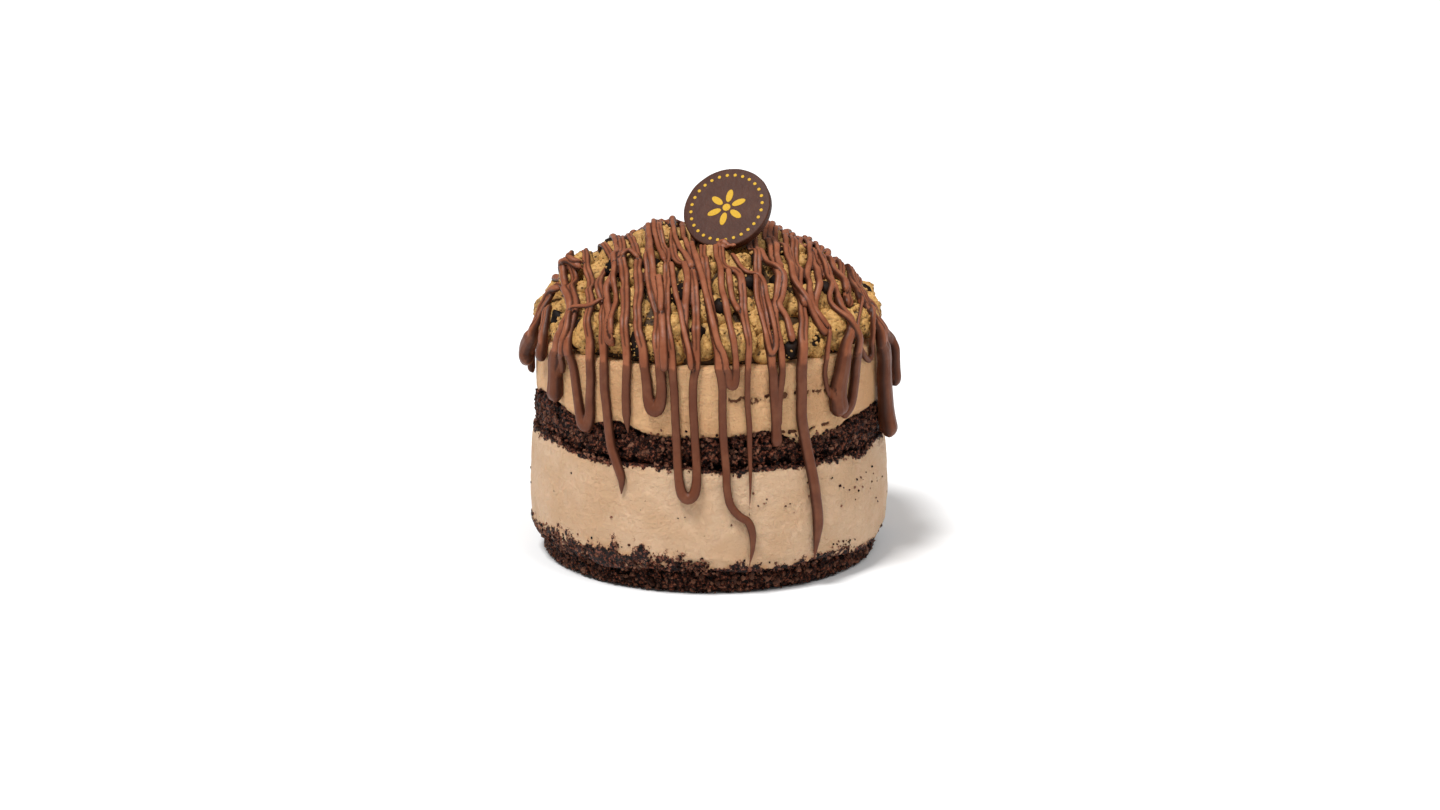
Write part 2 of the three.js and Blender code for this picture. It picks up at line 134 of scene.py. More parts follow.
def heap_normal(x: float, y: float) -> Vector:
    """The way out of the heap's outline."""
    radius = math.hypot(x, y)
    share = min(radius / CAKE_RADIUS, 0.999)
    steepness = HEAP_HEIGHT * FLANK_POWER * CROWN_POWER * share ** (CROWN_POWER - 1)
    fall = steepness / (CAKE_RADIUS * (1 - share**CROWN_POWER) ** (1 - FLANK_POWER))
    outward = fall / radius if radius > 0 else 0
    return Vector((x * outward, y * outward, 1)).normalized()


def heap_radius_for(area_share: float, steps: int = 120) -> float:
    """Radius that has the given share of the heap's outline inside it."""
    areas = [0.0]
    for step in range(1, steps + 1):
        inner = (step - 1) / steps * CAKE_RADIUS
        outer = step / steps * CAKE_RADIUS
        slant = math.hypot(outer - inner, dome_height(outer) - dome_height(inner))
        areas.append(areas[-1] + slant * (inner + outer))
    wanted = area_share * areas[-1]
    following = next(step for step, area in enumerate(areas) if area >= wanted)
    part = (wanted - areas[following - 1]) / (areas[following] - areas[following - 1])
    return (following - 1 + part) / steps * CAKE_RADIUS


def rim_depth(x: float) -> float:
    """How far in front of the middle the heap's rim is at x."""
    return math.sqrt(max(CAKE_RADIUS**2 - x**2, 0))


def wall_radius(height: float) -> float:
    """Radius that the hanging drizzle follows down the side."""
    return CAKE_RADIUS + BULGE * (1 - smoothstep(BULGE_FULL, BULGE_GONE, height))


def surface_at(x: float, run: float) -> tuple[Vector, Vector, float]:
    """A place on the outside of the cake, found as in the solids.

    Args:
        x: across the front.
        run: y on the heap, going on as the drop down the side past its rim.

    Returns:
        The place, the way out, and how far it is past the rim.
    """
    past = abs(run) - rim_depth(x)
    if past < 0:
        return Vector((x, run, heap_height(x, run))), heap_normal(x, run), past
    outward = Vector((x, math.copysign(rim_depth(x), run), 0)).normalized()
    height = ICE_TOP - past
    place = outward * wall_radius(height)
    place.z = height
    return place, outward, past


class Shader:
    """A material that is wired up from the piece's own coordinates."""

    def __init__(self, name: str) -> None:
        """Starts a Principled material."""
        self.material = bpy.data.materials.new(name)
        self.material.use_nodes = True
        self.tree = self.material.node_tree
        self.surface = self.tree.nodes["Principled BSDF"]
        self.place = self.tree.nodes.new("ShaderNodeTexCoord").outputs["Object"]

    def wire(self, node: bpy.types.Node, inputs: dict) -> None:
        """Gives a node's inputs, by name or number, each a value or what another socket holds."""
        for name, value in inputs.items():
            if isinstance(value, Socket):
                self.tree.links.new(value, node.inputs[name])
            else:
                node.inputs[name].default_value = value

    def add(self, kind: str, inputs: dict, output: str | int, **settings: object) -> Socket:
        """Adds a node.

        Args:
            kind: the node's type.
            inputs: what goes into it.
            output: which of its outputs is wanted, by name or number.
            settings: its own properties.

        Returns:
            That output.
        """
        node = self.tree.nodes.new(kind)
        for name, value in settings.items():
            setattr(node, name, value)
        self.wire(node, inputs)
        return node.outputs[output]

    def noise(self, size: float, detail: float = 3, roughness: float = 0.55) -> Socket:
        """Noise whose humps are a size in millimetres apart."""
        inputs = {"Vector": self.place, "Scale": 1 / (size * MM), "Detail": detail, "Roughness": roughness}
        return self.add("ShaderNodeTexNoise", inputs, "Fac")

    def cells(self, size: float) -> Socket:
        """Distance from the middle of cells of a size in millimetres."""
        return self.add("ShaderNodeTexVoronoi", {"Vector": self.place, "Scale": 1 / (size * MM)}, "Distance")

    def attribute(self, name: str) -> Socket:
        """A value that the mesh holds at each vertex."""
        return self.add("ShaderNodeAttribute", {}, "Fac", attribute_name=name)

    def ramp(self, factor: Socket, stops: list[tuple[float, tuple]]) -> Socket:
        """Colours over a factor, from a list of place and colour."""
        node = self.tree.nodes.new("ShaderNodeValToRGB")
        self.wire(node, {"Fac": factor})
        elements = node.color_ramp.elements
        while len(elements) < len(stops):
            elements.new(0.5)
        for element, (position, colour) in zip(elements, stops):
            element.position = position
            element.color = (*colour, 1)
        return node.outputs["Color"]

    def step(self, factor: Socket, low: float, high: float) -> Socket:
        """A factor spread out so that low becomes 0 and high becomes 1."""
        inputs = {"Value": factor, "From Min": low, "From Max": high}
        return self.add("ShaderNodeMapRange", inputs, "Result", interpolation_type="SMOOTHSTEP")

    def mix(self, factor: object, first: object, second: object) -> Socket:
        """Two colours mixed, each a socket or a plain colour."""
        first, second = (part if isinstance(part, Socket) else (*part, 1) for part in (first, second))
        return self.add("ShaderNodeMix", {0: factor, 6: first, 7: second}, 2, data_type="RGBA")

    def blend(self, factor: object, first: Socket, second: Socket) -> Socket:
        """Two reliefs mixed."""
        return self.add("ShaderNodeMix", {0: factor, 4: first, 5: second}, 1, data_type="VECTOR")

    def math(self, operation: str, first: object, second: object) -> Socket:
        """Two values worked together."""
        return self.add("ShaderNodeMath", {0: first, 1: second}, 0, operation=operation)

    def share(self, factor: Socket, most: float) -> Socket:
        """A factor made weaker."""
        return self.math("MULTIPLY", factor, most)

    def bump(self, height: Socket, depth: float, below: Socket | None = None) -> Socket:
        """Fine relief of a depth in millimetres, on top of another relief where one is given."""
        inputs = {"Height": height, "Distance": depth * MM, "Strength": 1.0}
        if below is not None:
            inputs["Normal"] = below
        return self.add("ShaderNodeBump", inputs, "Normal")

    def dress(
        self,
        colour: object,
        roughness: float,
        shine: float,
        relief: Socket | None = None,
        soaking: tuple[float, float] = (0.0, 1.0),
    ) -> bpy.types.Material:
        """Sets the surface.

        Args:
            colour: a socket or a plain colour.
            roughness: how matt it is.
            shine: how much it reflects.
            relief: its fine relief.
            soaking: how much of the light soaks in, and how many millimetres.

        Returns:
            The finished material.
        """
        share, reach = soaking
        inputs = {
            "Base Color": colour if isinstance(colour, Socket) else (*colour, 1),
            "Roughness": roughness,
            "Specular IOR Level": shine,
            "Subsurface Weight": share,
            "Subsurface Scale": reach * MM,
        }
        if relief is not None:
            inputs["Normal"] = relief
        self.wire(self.surface, inputs)
        return self.material


def linear(red: int, green: int, blue: int) -> tuple[float, float, float]:
    """A colour as seen, from 0 to 255, as the light it sends back."""
    seen = (red / 255, green / 255, blue / 255)
    return tuple(((part + 0.055) / 1.055) ** 2.4 if part > 0.04 else part / 12.92 for part in seen)


def crumb_look(shader: Shader) -> tuple[Socket, Socket]:
    """Dark chocolate cake crumb: reddish brown grains, with nearly black painted shade and pale painted
    highlight at random.

    Args:
        shader: the material it goes into.

    Returns:
        Its colour and its relief.
    """
    # The pit stop is painted shade and the crest stop painted highlight, spread at random over the grain.
    pit, grain, crest = linear(7, 3, 2), linear(62, 25, 15), linear(172, 102, 76)
    colour = shader.ramp(shader.noise(1.3, 4, 0.75), [(0.44, pit), (0.53, grain), (0.63, crest)])
    relief = shader.bump(shader.noise(0.5, 4, 0.75), 1.2, shader.bump(shader.cells(1.0), 1.2))
    return colour, relief


@dataclass(frozen=True)
class CrumbFinish:
    """Dark chocolate cake crumb, with painted shade in its deep hollows and painted highlight on pale
    crumbs.
    """

    name: str = "chocolate_crumb"
    hollow_shade: tuple = linear(5, 2, 1)
    highlight_flake: tuple = linear(198, 138, 110)

    def build(self) -> bpy.types.Material:
        """Makes the material."""
        shader = Shader(self.name)
        colour, relief = crumb_look(shader)
        # Painted shade, near black, where the torn side lies deep.
        colour = shader.mix(shader.share(shader.attribute("pit"), 0.85), colour, self.hollow_shade)
        # Painted highlight on loose crumbs marked pale.
        colour = shader.mix(shader.attribute("depth"), colour, self.highlight_flake)
        return shader.dress(colour, 0.4, 0.13, relief)


@dataclass(frozen=True)
class IceCreamFinish:
    """Pale brown ice cream with air pits painted darker as shade, smeared with crumb and stained where the
    cake touches it.
    """

    name: str
    pale: tuple
    deep: tuple
    stain: tuple = linear(196, 138, 84)
    # Painted shade for the air pits.
    pit: tuple = linear(112, 72, 47)
    halo: tuple = linear(168, 116, 86)

    def build(self) -> bpy.types.Material:
        """Makes the material."""
        shader = Shader(self.name)
        colour = shader.mix(shader.step(shader.noise(16, 3, 0.5), 0.36, 0.66), self.pale, self.deep)
        curd = shader.step(shader.noise(2.4, 5, 0.65), 0.3, 0.7)
        colour = shader.mix(shader.share(curd, 0.45), colour, self.deep)
        colour = shader.mix(shader.share(shader.attribute("stain"), 0.75), colour, self.stain)
        fine = shader.math("SUBTRACT", shader.noise(0.8, 4, 0.7), 0.5)
        holes = shader.step(shader.math("ADD", shader.attribute("pit"), fine), 0.5, 0.6)
        # Painted shade in the holes.
        colour = shader.mix(holes, colour, self.pit)
        smear = shader.math("ADD", shader.attribute("cover"), shader.share(fine, 1.3))
        colour = shader.mix(shader.share(shader.step(smear, 0.34, 0.5), 0.75), colour, self.halo)
        covered = shader.step(smear, 0.49, 0.55)
        crumb, crumb_relief = crumb_look(shader)
        relief = shader.bump(shader.noise(0.9, 5, 0.7), 0.5, shader.bump(curd, 0.55))
        relief = shader.blend(covered, relief, crumb_relief)
        return shader.dress(shader.mix(covered, colour, crumb), 0.55, 0.25, relief, (0.1, 3.0))


@dataclass(frozen=True)
class DoughFinish:
    """Golden cookie dough: grainy, paler on its crests, with painted shade in its cracks, small pits and
    core.
    """

    name: str = "cookie_dough"
    # Painted shade for cracks, small pits and the core.
    crack: tuple = linear(40, 22, 11)
    grain: tuple = linear(88, 55, 25)
    body: tuple = linear(178, 131, 71)
    crest: tuple = linear(210, 166, 100)

    def build(self) -> bpy.types.Material:
        """Makes the material."""
        shader = Shader(self.name)
        stops = [(0.3, self.grain), (0.43, self.body), (0.66, self.crest)]
        colour = shader.ramp(shader.noise(1.0, 6, 0.7), stops)
        # Painted shade where the depth marks a crack, and over the core.
        colour = shader.mix(shader.attribute("depth"), colour, self.crack)
        patch = shader.step(shader.noise(7, 2), 0.46, 0.56)
        # Painted shade in small pits, in patches.
        pits = shader.math("MULTIPLY", shader.step(shader.cells(1.7), 0.3, 0.18), patch)
        colour = shader.mix(shader.share(pits, 0.8), colour, self.crack)
        relief = shader.bump(shader.noise(0.7, 4, 0.7), 0.22, shader.bump(pits, -0.5))
        return shader.dress(colour, 0.62, 0.3, relief, (0.06, 1.5))


@dataclass(frozen=True)
class ChocolateFinish:
    """Set chocolate with a satin skin and a faint bloom, with painted shade in its creases."""

    name: str
    body: tuple
    bloom: tuple
    roughness: float
    shine: float
    crease_shade: tuple = linear(42, 18, 9)

    def build(self) -> bpy.types.Material:
        """Makes the material."""
        shader = Shader(self.name)
        colour = shader.mix(shader.step(shader.noise(6, 4, 0.6), 0.38, 0.72), self.body, self.bloom)
        # Painted shade where the mesh marks its creases.
        colour = shader.mix(shader.attribute("crease_shade"), colour, self.crease_shade)
        relief = shader.bump(shader.noise(1.8, 4, 0.6), 0.15)
        return shader.dress(colour, self.roughness, self.shine, relief, (0.05, 1.0))


@dataclass(frozen=True)
class PrintFinish:
    """Yellow cocoa-butter print, thin enough for specks of chocolate to show through."""

    name: str = "yellow_print"
    ink: tuple = linear(200, 155, 10)
    speck: tuple = linear(140, 95, 30)

    def build(self) -> bpy.types.Material:
        """Makes the material."""
        shader = Shader(self.name)
        colour = shader.mix(shader.step(shader.noise(0.5, 3, 0.7), 0.6, 0.72), self.ink, self.speck)
        return shader.dress(colour, 0.5, 0.25, shader.bump(shader.noise(0.6, 3), 0.08))


@dataclass(frozen=True)
class FloorFinish:
    """Plain pale studio floor."""

    name: str = "studio_floor"
    pale: tuple = (0.9, 0.9, 0.9)

    def build(self) -> bpy.types.Material:
        """Makes the material."""
        return Shader(self.name).dress(self.pale, 0.9, 0.0)


class Finishes(Enum):
    """The finishes by what they cover."""

    CRUMB = CrumbFinish()
    LOWER_ICE_CREAM = IceCreamFinish("lower_ice_cream", linear(220, 185, 151), linear(208, 169, 132))
    UPPER_ICE_CREAM = IceCreamFinish("upper_ice_cream", linear(227, 180, 132), linear(213, 163, 117))
    DOUGH = DoughFinish()
    DRIZZLE = ChocolateFinish("milk_chocolate", linear(129, 73, 48), linear(150, 91, 63), 0.43, 0.19)
    # Dark chocolate, also used as painted shade in the heap's gaps.
    DARK_CHOCOLATE_AND_GAP_SHADE = ChocolateFinish("dark_chocolate_and_gap_shade", linear(18, 10, 7), linear(40, 24, 17), 0.55, 0.1)
    DISC = ChocolateFinish("moulded_chocolate", linear(68, 38, 27), linear(77, 45, 32), 0.5, 0.15)
    PRINT = PrintFinish()
    FLOOR = FloorFinish()


class Slots(Enum):
    """The part's material slots."""

    CRUMB = "chocolate_crumb"
    ICE_CREAM = "hazelnut_ice_cream"
    HEAP = "dough_and_drizzle"
    DISC = "moulded_chocolate"


@lru_cache(maxsize=None)
def made(finish: Finishes) -> bpy.types.Material:
    """The finish's material, made the first time it is asked for."""
    return finish.value.build()


def linked(name: str, data: bpy.types.ID) -> bpy.types.Object:
    """An object of that name and data in the scene."""
    item = bpy.data.objects.new(name, data)
    bpy.context.scene.collection.objects.link(item)
    return item


def worked_out(item: bpy.types.Object) -> Mesh:
    """The mesh that an object's curves or modifiers give, in place of the object."""
    bpy.context.view_layer.update()
    mesh = bpy.data.meshes.new_from_object(item.evaluated_get(bpy.context.evaluated_depsgraph_get()))
    bpy.data.objects.remove(item)
    return mesh


def mesh_from(body: Body, name: str) -> Mesh:
    """The body as a mesh of that name."""
    mesh = bpy.data.meshes.new(name)
    body.to_mesh(mesh)
    body.free()
    return mesh


def arrays_from(body: Body) -> tuple[np.ndarray, np.ndarray]:
    """The vertices and faces of a body of triangles."""
    body.verts.index_update()
    places = np.array([vertex.co[:] for vertex in body.verts])
    faces = np.array([[vertex.index for vertex in face.verts] for face in body.faces])
    body.free()
    return places, faces


def vertices_of(mesh: Mesh) -> np.ndarray:
    """The mesh's vertices, one a row."""
    places = np.empty(3 * len(mesh.vertices))
    mesh.vertices.foreach_get("co", places)
    return places.reshape(-1, 3)


def mark(mesh: Mesh, name: str, values: object) -> None:
    """Gives each vertex of a mesh a value that its material can read."""
    attribute = mesh.attributes.new(name, "FLOAT", "POINT")
    attribute.data.foreach_set("value", np.asarray(values, np.float32))


@dataclass
class Piece:
    """A finished piece of the visual model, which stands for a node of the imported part."""

    name: str
    node: str
    slot: Slots
    finish: Finishes

    def place(self, mesh: Mesh, smooth: bool = True) -> None:
        """Brings a mesh from millimetres to metres and sets it in the frame.

        Args:
            mesh: the piece's mesh in millimetres.
            smooth: whether its faces are shaded smooth.
        """
        mesh.transform(Matrix.Scale(MM, 4))
        mesh.polygons.foreach_set("use_smooth", [smooth] * len(mesh.polygons))
        mesh.materials.clear()
        mesh.materials.append(made(self.finish))
        mesh.update()
        item = linked(self.name, mesh)
        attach(item, "root")
        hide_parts(self.node)
        LOG.info("%s: %d faces", self.name, len(mesh.polygons))


def spun(profile: list[tuple[float, float]], steps: int) -> Body:
    """Turns a profile that starts and ends on the axis into a closed body.

    Args:
        profile: radius and height from the bottom up.
        steps: how many steps go round.

    Returns:
        The body, its faces pointing out.
    """
    body = bmesh.new()
    corners = [body.verts.new((0, -radius, height)) for radius, height in profile]
    edges = [body.edges.new(pair) for pair in zip(corners, corners[1:])]
    bmesh.ops.spin(
        body,
        geom=corners + edges,
        cent=(0, 0, 0),
        axis=(0, 0, 1),
        angle=2 * math.pi,
        steps=steps,
        use_merge=True,
    )
    bmesh.ops.remove_doubles(body, verts=body.verts, dist=1e-4)
    bmesh.ops.recalc_face_normals(body, faces=body.faces)
    return body


@lru_cache(maxsize=None)
def ball_of(detail: int) -> tuple[np.ndarray, np.ndarray]:
    """Directions and faces of a ball of triangles."""
    ball = bmesh.new()
    bmesh.ops.create_icosphere(ball, subdivisions=detail, radius=1.0)
    return arrays_from(ball)


def turned(rng: np.random.Generator) -> np.ndarray:
    """An even random turn."""
    axes, _ = np.linalg.qr(rng.normal(size=(3, 3)))
    return axes * np.sign(np.linalg.det(axes))


def pebble(rng: np.random.Generator, size: float, narrow: float, rough: float) -> np.ndarray:
    """A tiny uneven body.

    Args:
        rng: draws its form.
        size: its radius.
        narrow: the least share of that it may have across.
        rough: how much its vertices stray.

    Returns:
        Its vertices round its middle; its faces are those of a ball of detail 1.
    """
    ball, _ = ball_of(1)
    shape = ball * rng.uniform(narrow, 1.0, 3) * (1 + rough * rng.normal(size=(len(ball), 1)))
    return size * shape @ turned(rng)


@dataclass
class Rubble:
    """Many small bodies gathered into one mesh."""

    places: list[np.ndarray] = field(default_factory=list)
    faces: list[np.ndarray] = field(default_factory=list)
    depths: list[np.ndarray] = field(default_factory=list)
    count: int = 0

    def add(self, places: np.ndarray, faces: np.ndarray, depth: np.ndarray | float = 0.0) -> None:
        """Adds one body, with how deep each of its vertices lies in a crack, for painted shade, or how pale
        a loose crumb is, for painted highlight.
        """
        self.places.append(places)
        self.faces.append(faces + self.count)
        self.depths.append(np.broadcast_to(depth, len(places)))
        self.count += len(places)

    def whole(self) -> tuple[np.ndarray, np.ndarray]:
        """The vertices and faces of all of it."""
        return np.concatenate(self.places), np.concatenate(self.faces)

    def mesh(self, name: str) -> Mesh:
        """All of it as one mesh."""
        places, faces = self.whole()
        mesh = bpy.data.meshes.new(name)
        mesh.from_pydata(places.tolist(), [], faces.tolist())
        mark(mesh, "depth", np.concatenate(self.depths))
        return mesh


@dataclass(frozen=True)
class Joint:
    """The uneven joint between two layers.

    Its dips are each a place round the side in millimetres, a rise and a spread.
    """

    height: float
    swing: float = 0.0
    ragged: float = 0.0
    dips: tuple[tuple[float, float, float], ...] = ()

    def at(self, angle: float, radius: float) -> float:
        """Height of the joint, as in the solids but drawn through their facets.

        Args:
            angle: round the cake from the front, anticlockwise from above.
            radius: how far out.

        Returns:
            The height there.
        """
        slow = 0.6 * math.sin(3 * angle + self.height) + 0.4 * math.sin(7 * angle + 2 * self.height)
        along = (angle / (2 * math.pi)) % 1 * SIDE_FACETS
        facet = math.floor(along)
        share = smoothstep(0, 1, along - facet)
        near, far = (uneven((facet + step) % SIDE_FACETS, self.height) for step in (0, 1))
        quick = 2 * (near + (far - near) * share) - 1
        place = math.remainder(angle, 2 * math.pi) * CAKE_RADIUS
        dip = sum(rise * math.exp(-(((place - at) / spread) ** 2)) for at, rise, spread in self.dips)
        return self.height + (self.swing * slow + self.ragged / 2 * quick + dip) * radius / CAKE_RADIUS


FOOT = Joint(0)
BASE_JOINT = Joint(7.5, 0.8, 1.4)
LOWER_JOINT = Joint(44, 0.9, 0.8, ((-68, 3.4, 18), (-16, 2.2, 24), (5, -1.6, 6), (62, -1.6, 5)))
UPPER_JOINT = Joint(56, 1.0, 0.7, ((-69, 5.2, 16), (-33, 3, 7), (35, -6.5, 8), (47, -3, 6)))
TOP_JOINT = Joint(ICE_TOP)


@dataclass
class Marks:
    """What a place on a layer's side bears, each from 0 to 1."""

    cover: float = 0.0
    stain: float = 0.0
    pit: float = 0.0


@dataclass
class Layer:
    """A layer of the cake, from its lower joint to its upper one.

    Its side is given as radii by shares of its height. Its edges fall back by a power of the way
    from its middle.
    """

    piece: Piece
    below: Joint
    above: Joint
    side: Pairs
    steps: int = 800
    rings: int = 50
    edge_fall: float = 0.5
    edge_power: int = 16

    def side_radius(self, share: float) -> float:
        """Radius of the side at a share of the height."""
        radii, shares = zip(*self.side)
        return float(np.interp(share, shares, radii))

    def marks(self, place: Vector, angle: float) -> Marks:
        """What the side bears at a place, which is nothing on a plain layer."""
        return Marks()

    def relief(self, place: Vector, marks: Marks) -> float:
        """How far the side stands out of its even form, which a plain layer keeps."""
        return 0.0

    def build(self) -> None:
        """Makes the layer and sets it in the frame."""
        shares = [ring / self.rings for ring in range(self.rings + 1)]
        side = [(self.side_radius(share), share) for share in shares]
        inner = self.side_radius(0) / 2
        body = spun([(0, 0), (inner, 0), *side, (inner, 1), (0, 1)], self.steps)
        found = []
        for vertex in body.verts:
            share = vertex.co.z
            radius = math.hypot(vertex.co.x, vertex.co.y)
            angle = math.atan2(vertex.co.x, -vertex.co.y)
            low = self.below.at(angle, radius)
            vertex.co.z = low + (self.above.at(angle, radius) - low) * share
            marks = Marks()
            if radius > inner + 1:
                marks = self.marks(vertex.co, angle)
                edge = self.edge_fall * abs(2 * share - 1) ** self.edge_power
                wide = (radius + self.relief(vertex.co, marks) - edge) / radius
                vertex.co.x *= wide
                vertex.co.y *= wide
            found.append(marks)
        mesh = mesh_from(body, self.piece.name)
        for name in ("cover", "stain", "pit"):
            mark(mesh, name, [getattr(marks, name) for marks in found])
        self.piece.place(mesh)


def crumb_relief(place: Vector) -> float:
    """Torn crumb, from about -1 to 1: broad dips, nodules and holes."""
    nodule = 0.8 - 1.5 * noise.voronoi(place / 2.4)[0][0]
    grain = 0.5 - noise.voronoi(place / 1.0)[0][0]
    hole = smoothstep(0.1, 0.36, ripple(place, 3, 11, 2))
    return 0.45 * ripple(place, 6, 3) + 0.6 * nodule + 0.35 * grain - 0.9 * hole


@dataclass
class CrumbLayer(Layer):
    """A layer of dark cake with a coarse, torn side."""

    coarse: float = 1.6
    edge_fall: float = 0.9
    edge_power: int = 7

    def marks(self, place: Vector, angle: float) -> Marks:
        """How deep the place lies in the torn crumb, which is painted in shade."""
        return Marks(pit=smoothstep(0.15, -0.75, crumb_relief(place)))

    def relief(self, place: Vector, marks: Marks) -> float:
        """Torn crumb."""
        return self.coarse * crumb_relief(place)


@dataclass(frozen=True)
class Seam:
    """A broken line of holes round part of a side, from one angle to another in degrees."""

    height: float
    start: float
    stop: float
    reach: float

    def pit(self, place: Vector, angle: float) -> float:
        """How much of a hole a place lies in."""
        degrees = math.degrees(angle)
        if not self.start < degrees < self.stop:
            return 0.0
        line = self.height + 1.1 * ripple(Vector((degrees / 9, 0, 0)), 1, 6, 2)
        along = smoothstep(-0.25, 0.15, ripple(Vector((degrees / 2.6, place.z / 3, 0)), 1, 2, 2))
        return along * max(0.0, 1 - abs(place.z - line) / self.reach)


@dataclass
class IceCreamLayer(Layer):
    """A layer of ice cream, smoothed unevenly with a blade and smeared with crumb at its joints.

    The smear over the lower joint is angle in degrees and reach in millimetres, round from the front.
    """

    wave: float = 0.3
    over_below: Pairs = ((-180, 1.0), (180, 1.0))
    under_above: float = 0.9
    streak: float = 1.3
    pit_depth: float = 1.1
    seams: tuple[Seam, ...] = ()

    def marks(self, place: Vector, angle: float) -> Marks:
        """Crumb smears and stains near the cake above and below, and holes."""
        angles, reaches = zip(*self.over_below)
        reach = float(np.interp(math.degrees(angle), angles, reaches))
        reach *= 1 + 0.5 * ripple(place, 8, 2)
        mottle = 0.8 * ripple(place, 5, 7, 2) + 0.3 * ripple(place, 1.7, 1, 2)
        away = place.z - self.below.at(angle, CAKE_RADIUS)
        mottle *= smoothstep(0, 1.5, away) * smoothstep(2.2 * reach, reach, away)
        cover = self.fading(away, reach) + mottle
        stain = smoothstep(1.6 * max(reach, 0.5), 0.5 * reach, away)
        if self.above is not TOP_JOINT:
            fringe = Vector((place.x, place.y, place.z / self.streak))
            away = self.above.at(angle, CAKE_RADIUS) - place.z
            deep = self.under_above * (1 + 0.5 * ripple(place, 9, 13))
            ragged = 0.85 * ripple(fringe, 2.1, 5, 3) + 0.3 * ripple(place, 4, 9)
            cover = max(cover, self.fading(away, deep) + ragged * smoothstep(-0.3, 0.8, away))
            stain = max(stain, smoothstep(1.8 * deep, 0.4 * deep, away))
        stain *= 0.7 * smoothstep(-0.3, 0.5, ripple(place, 6, 4))
        pit = max((seam.pit(place, angle) for seam in self.seams), default=0.0)
        return Marks(min(max(cover, 0.0), 1.0), stain, pit)

    @staticmethod
    def fading(away: float, reach: float) -> float:
        """Cover that is whole at a joint and half gone at its reach."""
        return 1 - 0.5 * max(away, 0.0) / max(reach, 0.1)

    def relief(self, place: Vector, marks: Marks) -> float:
        """Soft swells, finer marks, crumb that stands out and holes that go in."""
        rough = self.wave * ripple(place, 13, 5) + 0.45 * self.wave * ripple(place, 3.2, 9)
        curd = 0.05 * ripple(place, 1.2, 15)
        crumb = smoothstep(0.42, 0.6, marks.cover) * (0.35 + 0.45 * crumb_relief(place))
        return rough + curd + crumb - self.pit_depth * marks.pit


@dataclass(frozen=True)
class Band:
    """Where crumbs lie: a height over a joint, how far they scatter, the radius and the angles.

    Of their number, fewer come out where they lie in patches. Pale ones catch the light.
    """

    height: float
    spread: float
    radius: float
    count: int
    size: float
    start: float = -180.0
    stop: float = 180.0
    patchy: bool = True
    along: Joint = FOOT
    pale: float = 0.7


@dataclass
class Crumbs:
    """Loose crumbs of the dark cake: on its torn sides and strewn on the ice cream beside it."""

    piece: Piece
    seed: int
    bands: tuple[Band, ...]
    side: Pairs = (
        (60.0, 7.5), (62.0, 8.6), (63.4, 12.6), (64.0, 22.0), (63.6, 33.0), (62.9, 41.0), (62.2, 47.0),
    )

    def build(self) -> None:
        """Strews the crumbs over the bands of the side."""
        rng = np.random.default_rng(self.seed)
        faces = ball_of(1)[1]
        radii, heights = zip(*self.side)
        rubble = Rubble()
        for band in self.bands:
            for _ in range(band.count):
                angle = math.radians(rng.uniform(band.start, band.stop))
                patch = noise.noise(Vector((6 * math.sin(angle), 6 * math.cos(angle), band.height)))
                if band.patchy and rng.uniform(-0.45, 0.45) > patch:
                    continue
                size = band.size * rng.uniform(0.4, 1.4)
                joint = band.along.at(angle, CAKE_RADIUS)
                z = max(joint + band.height + band.spread * rng.normal(), 1.5 * size)
                away = min(band.radius, float(np.interp(z, heights, radii)))
                middle = np.array([away * math.sin(angle), -away * math.cos(angle), z])
                places = middle + pebble(rng, size, 0.55, 0.22)
                # How pale the crumb is painted, as painted highlight.
                rubble.add(places, faces, band.pale * rng.random() ** 4)
        self.piece.place(rubble.mesh(self.piece.name), smooth=False)


class Ribbon(NamedTuple):
    """A strand as it lies: its middle line, the ways sideways, and its half width and thickness."""

    places: np.ndarray
    sides: np.ndarray
    halves: np.ndarray
    thick: np.ndarray


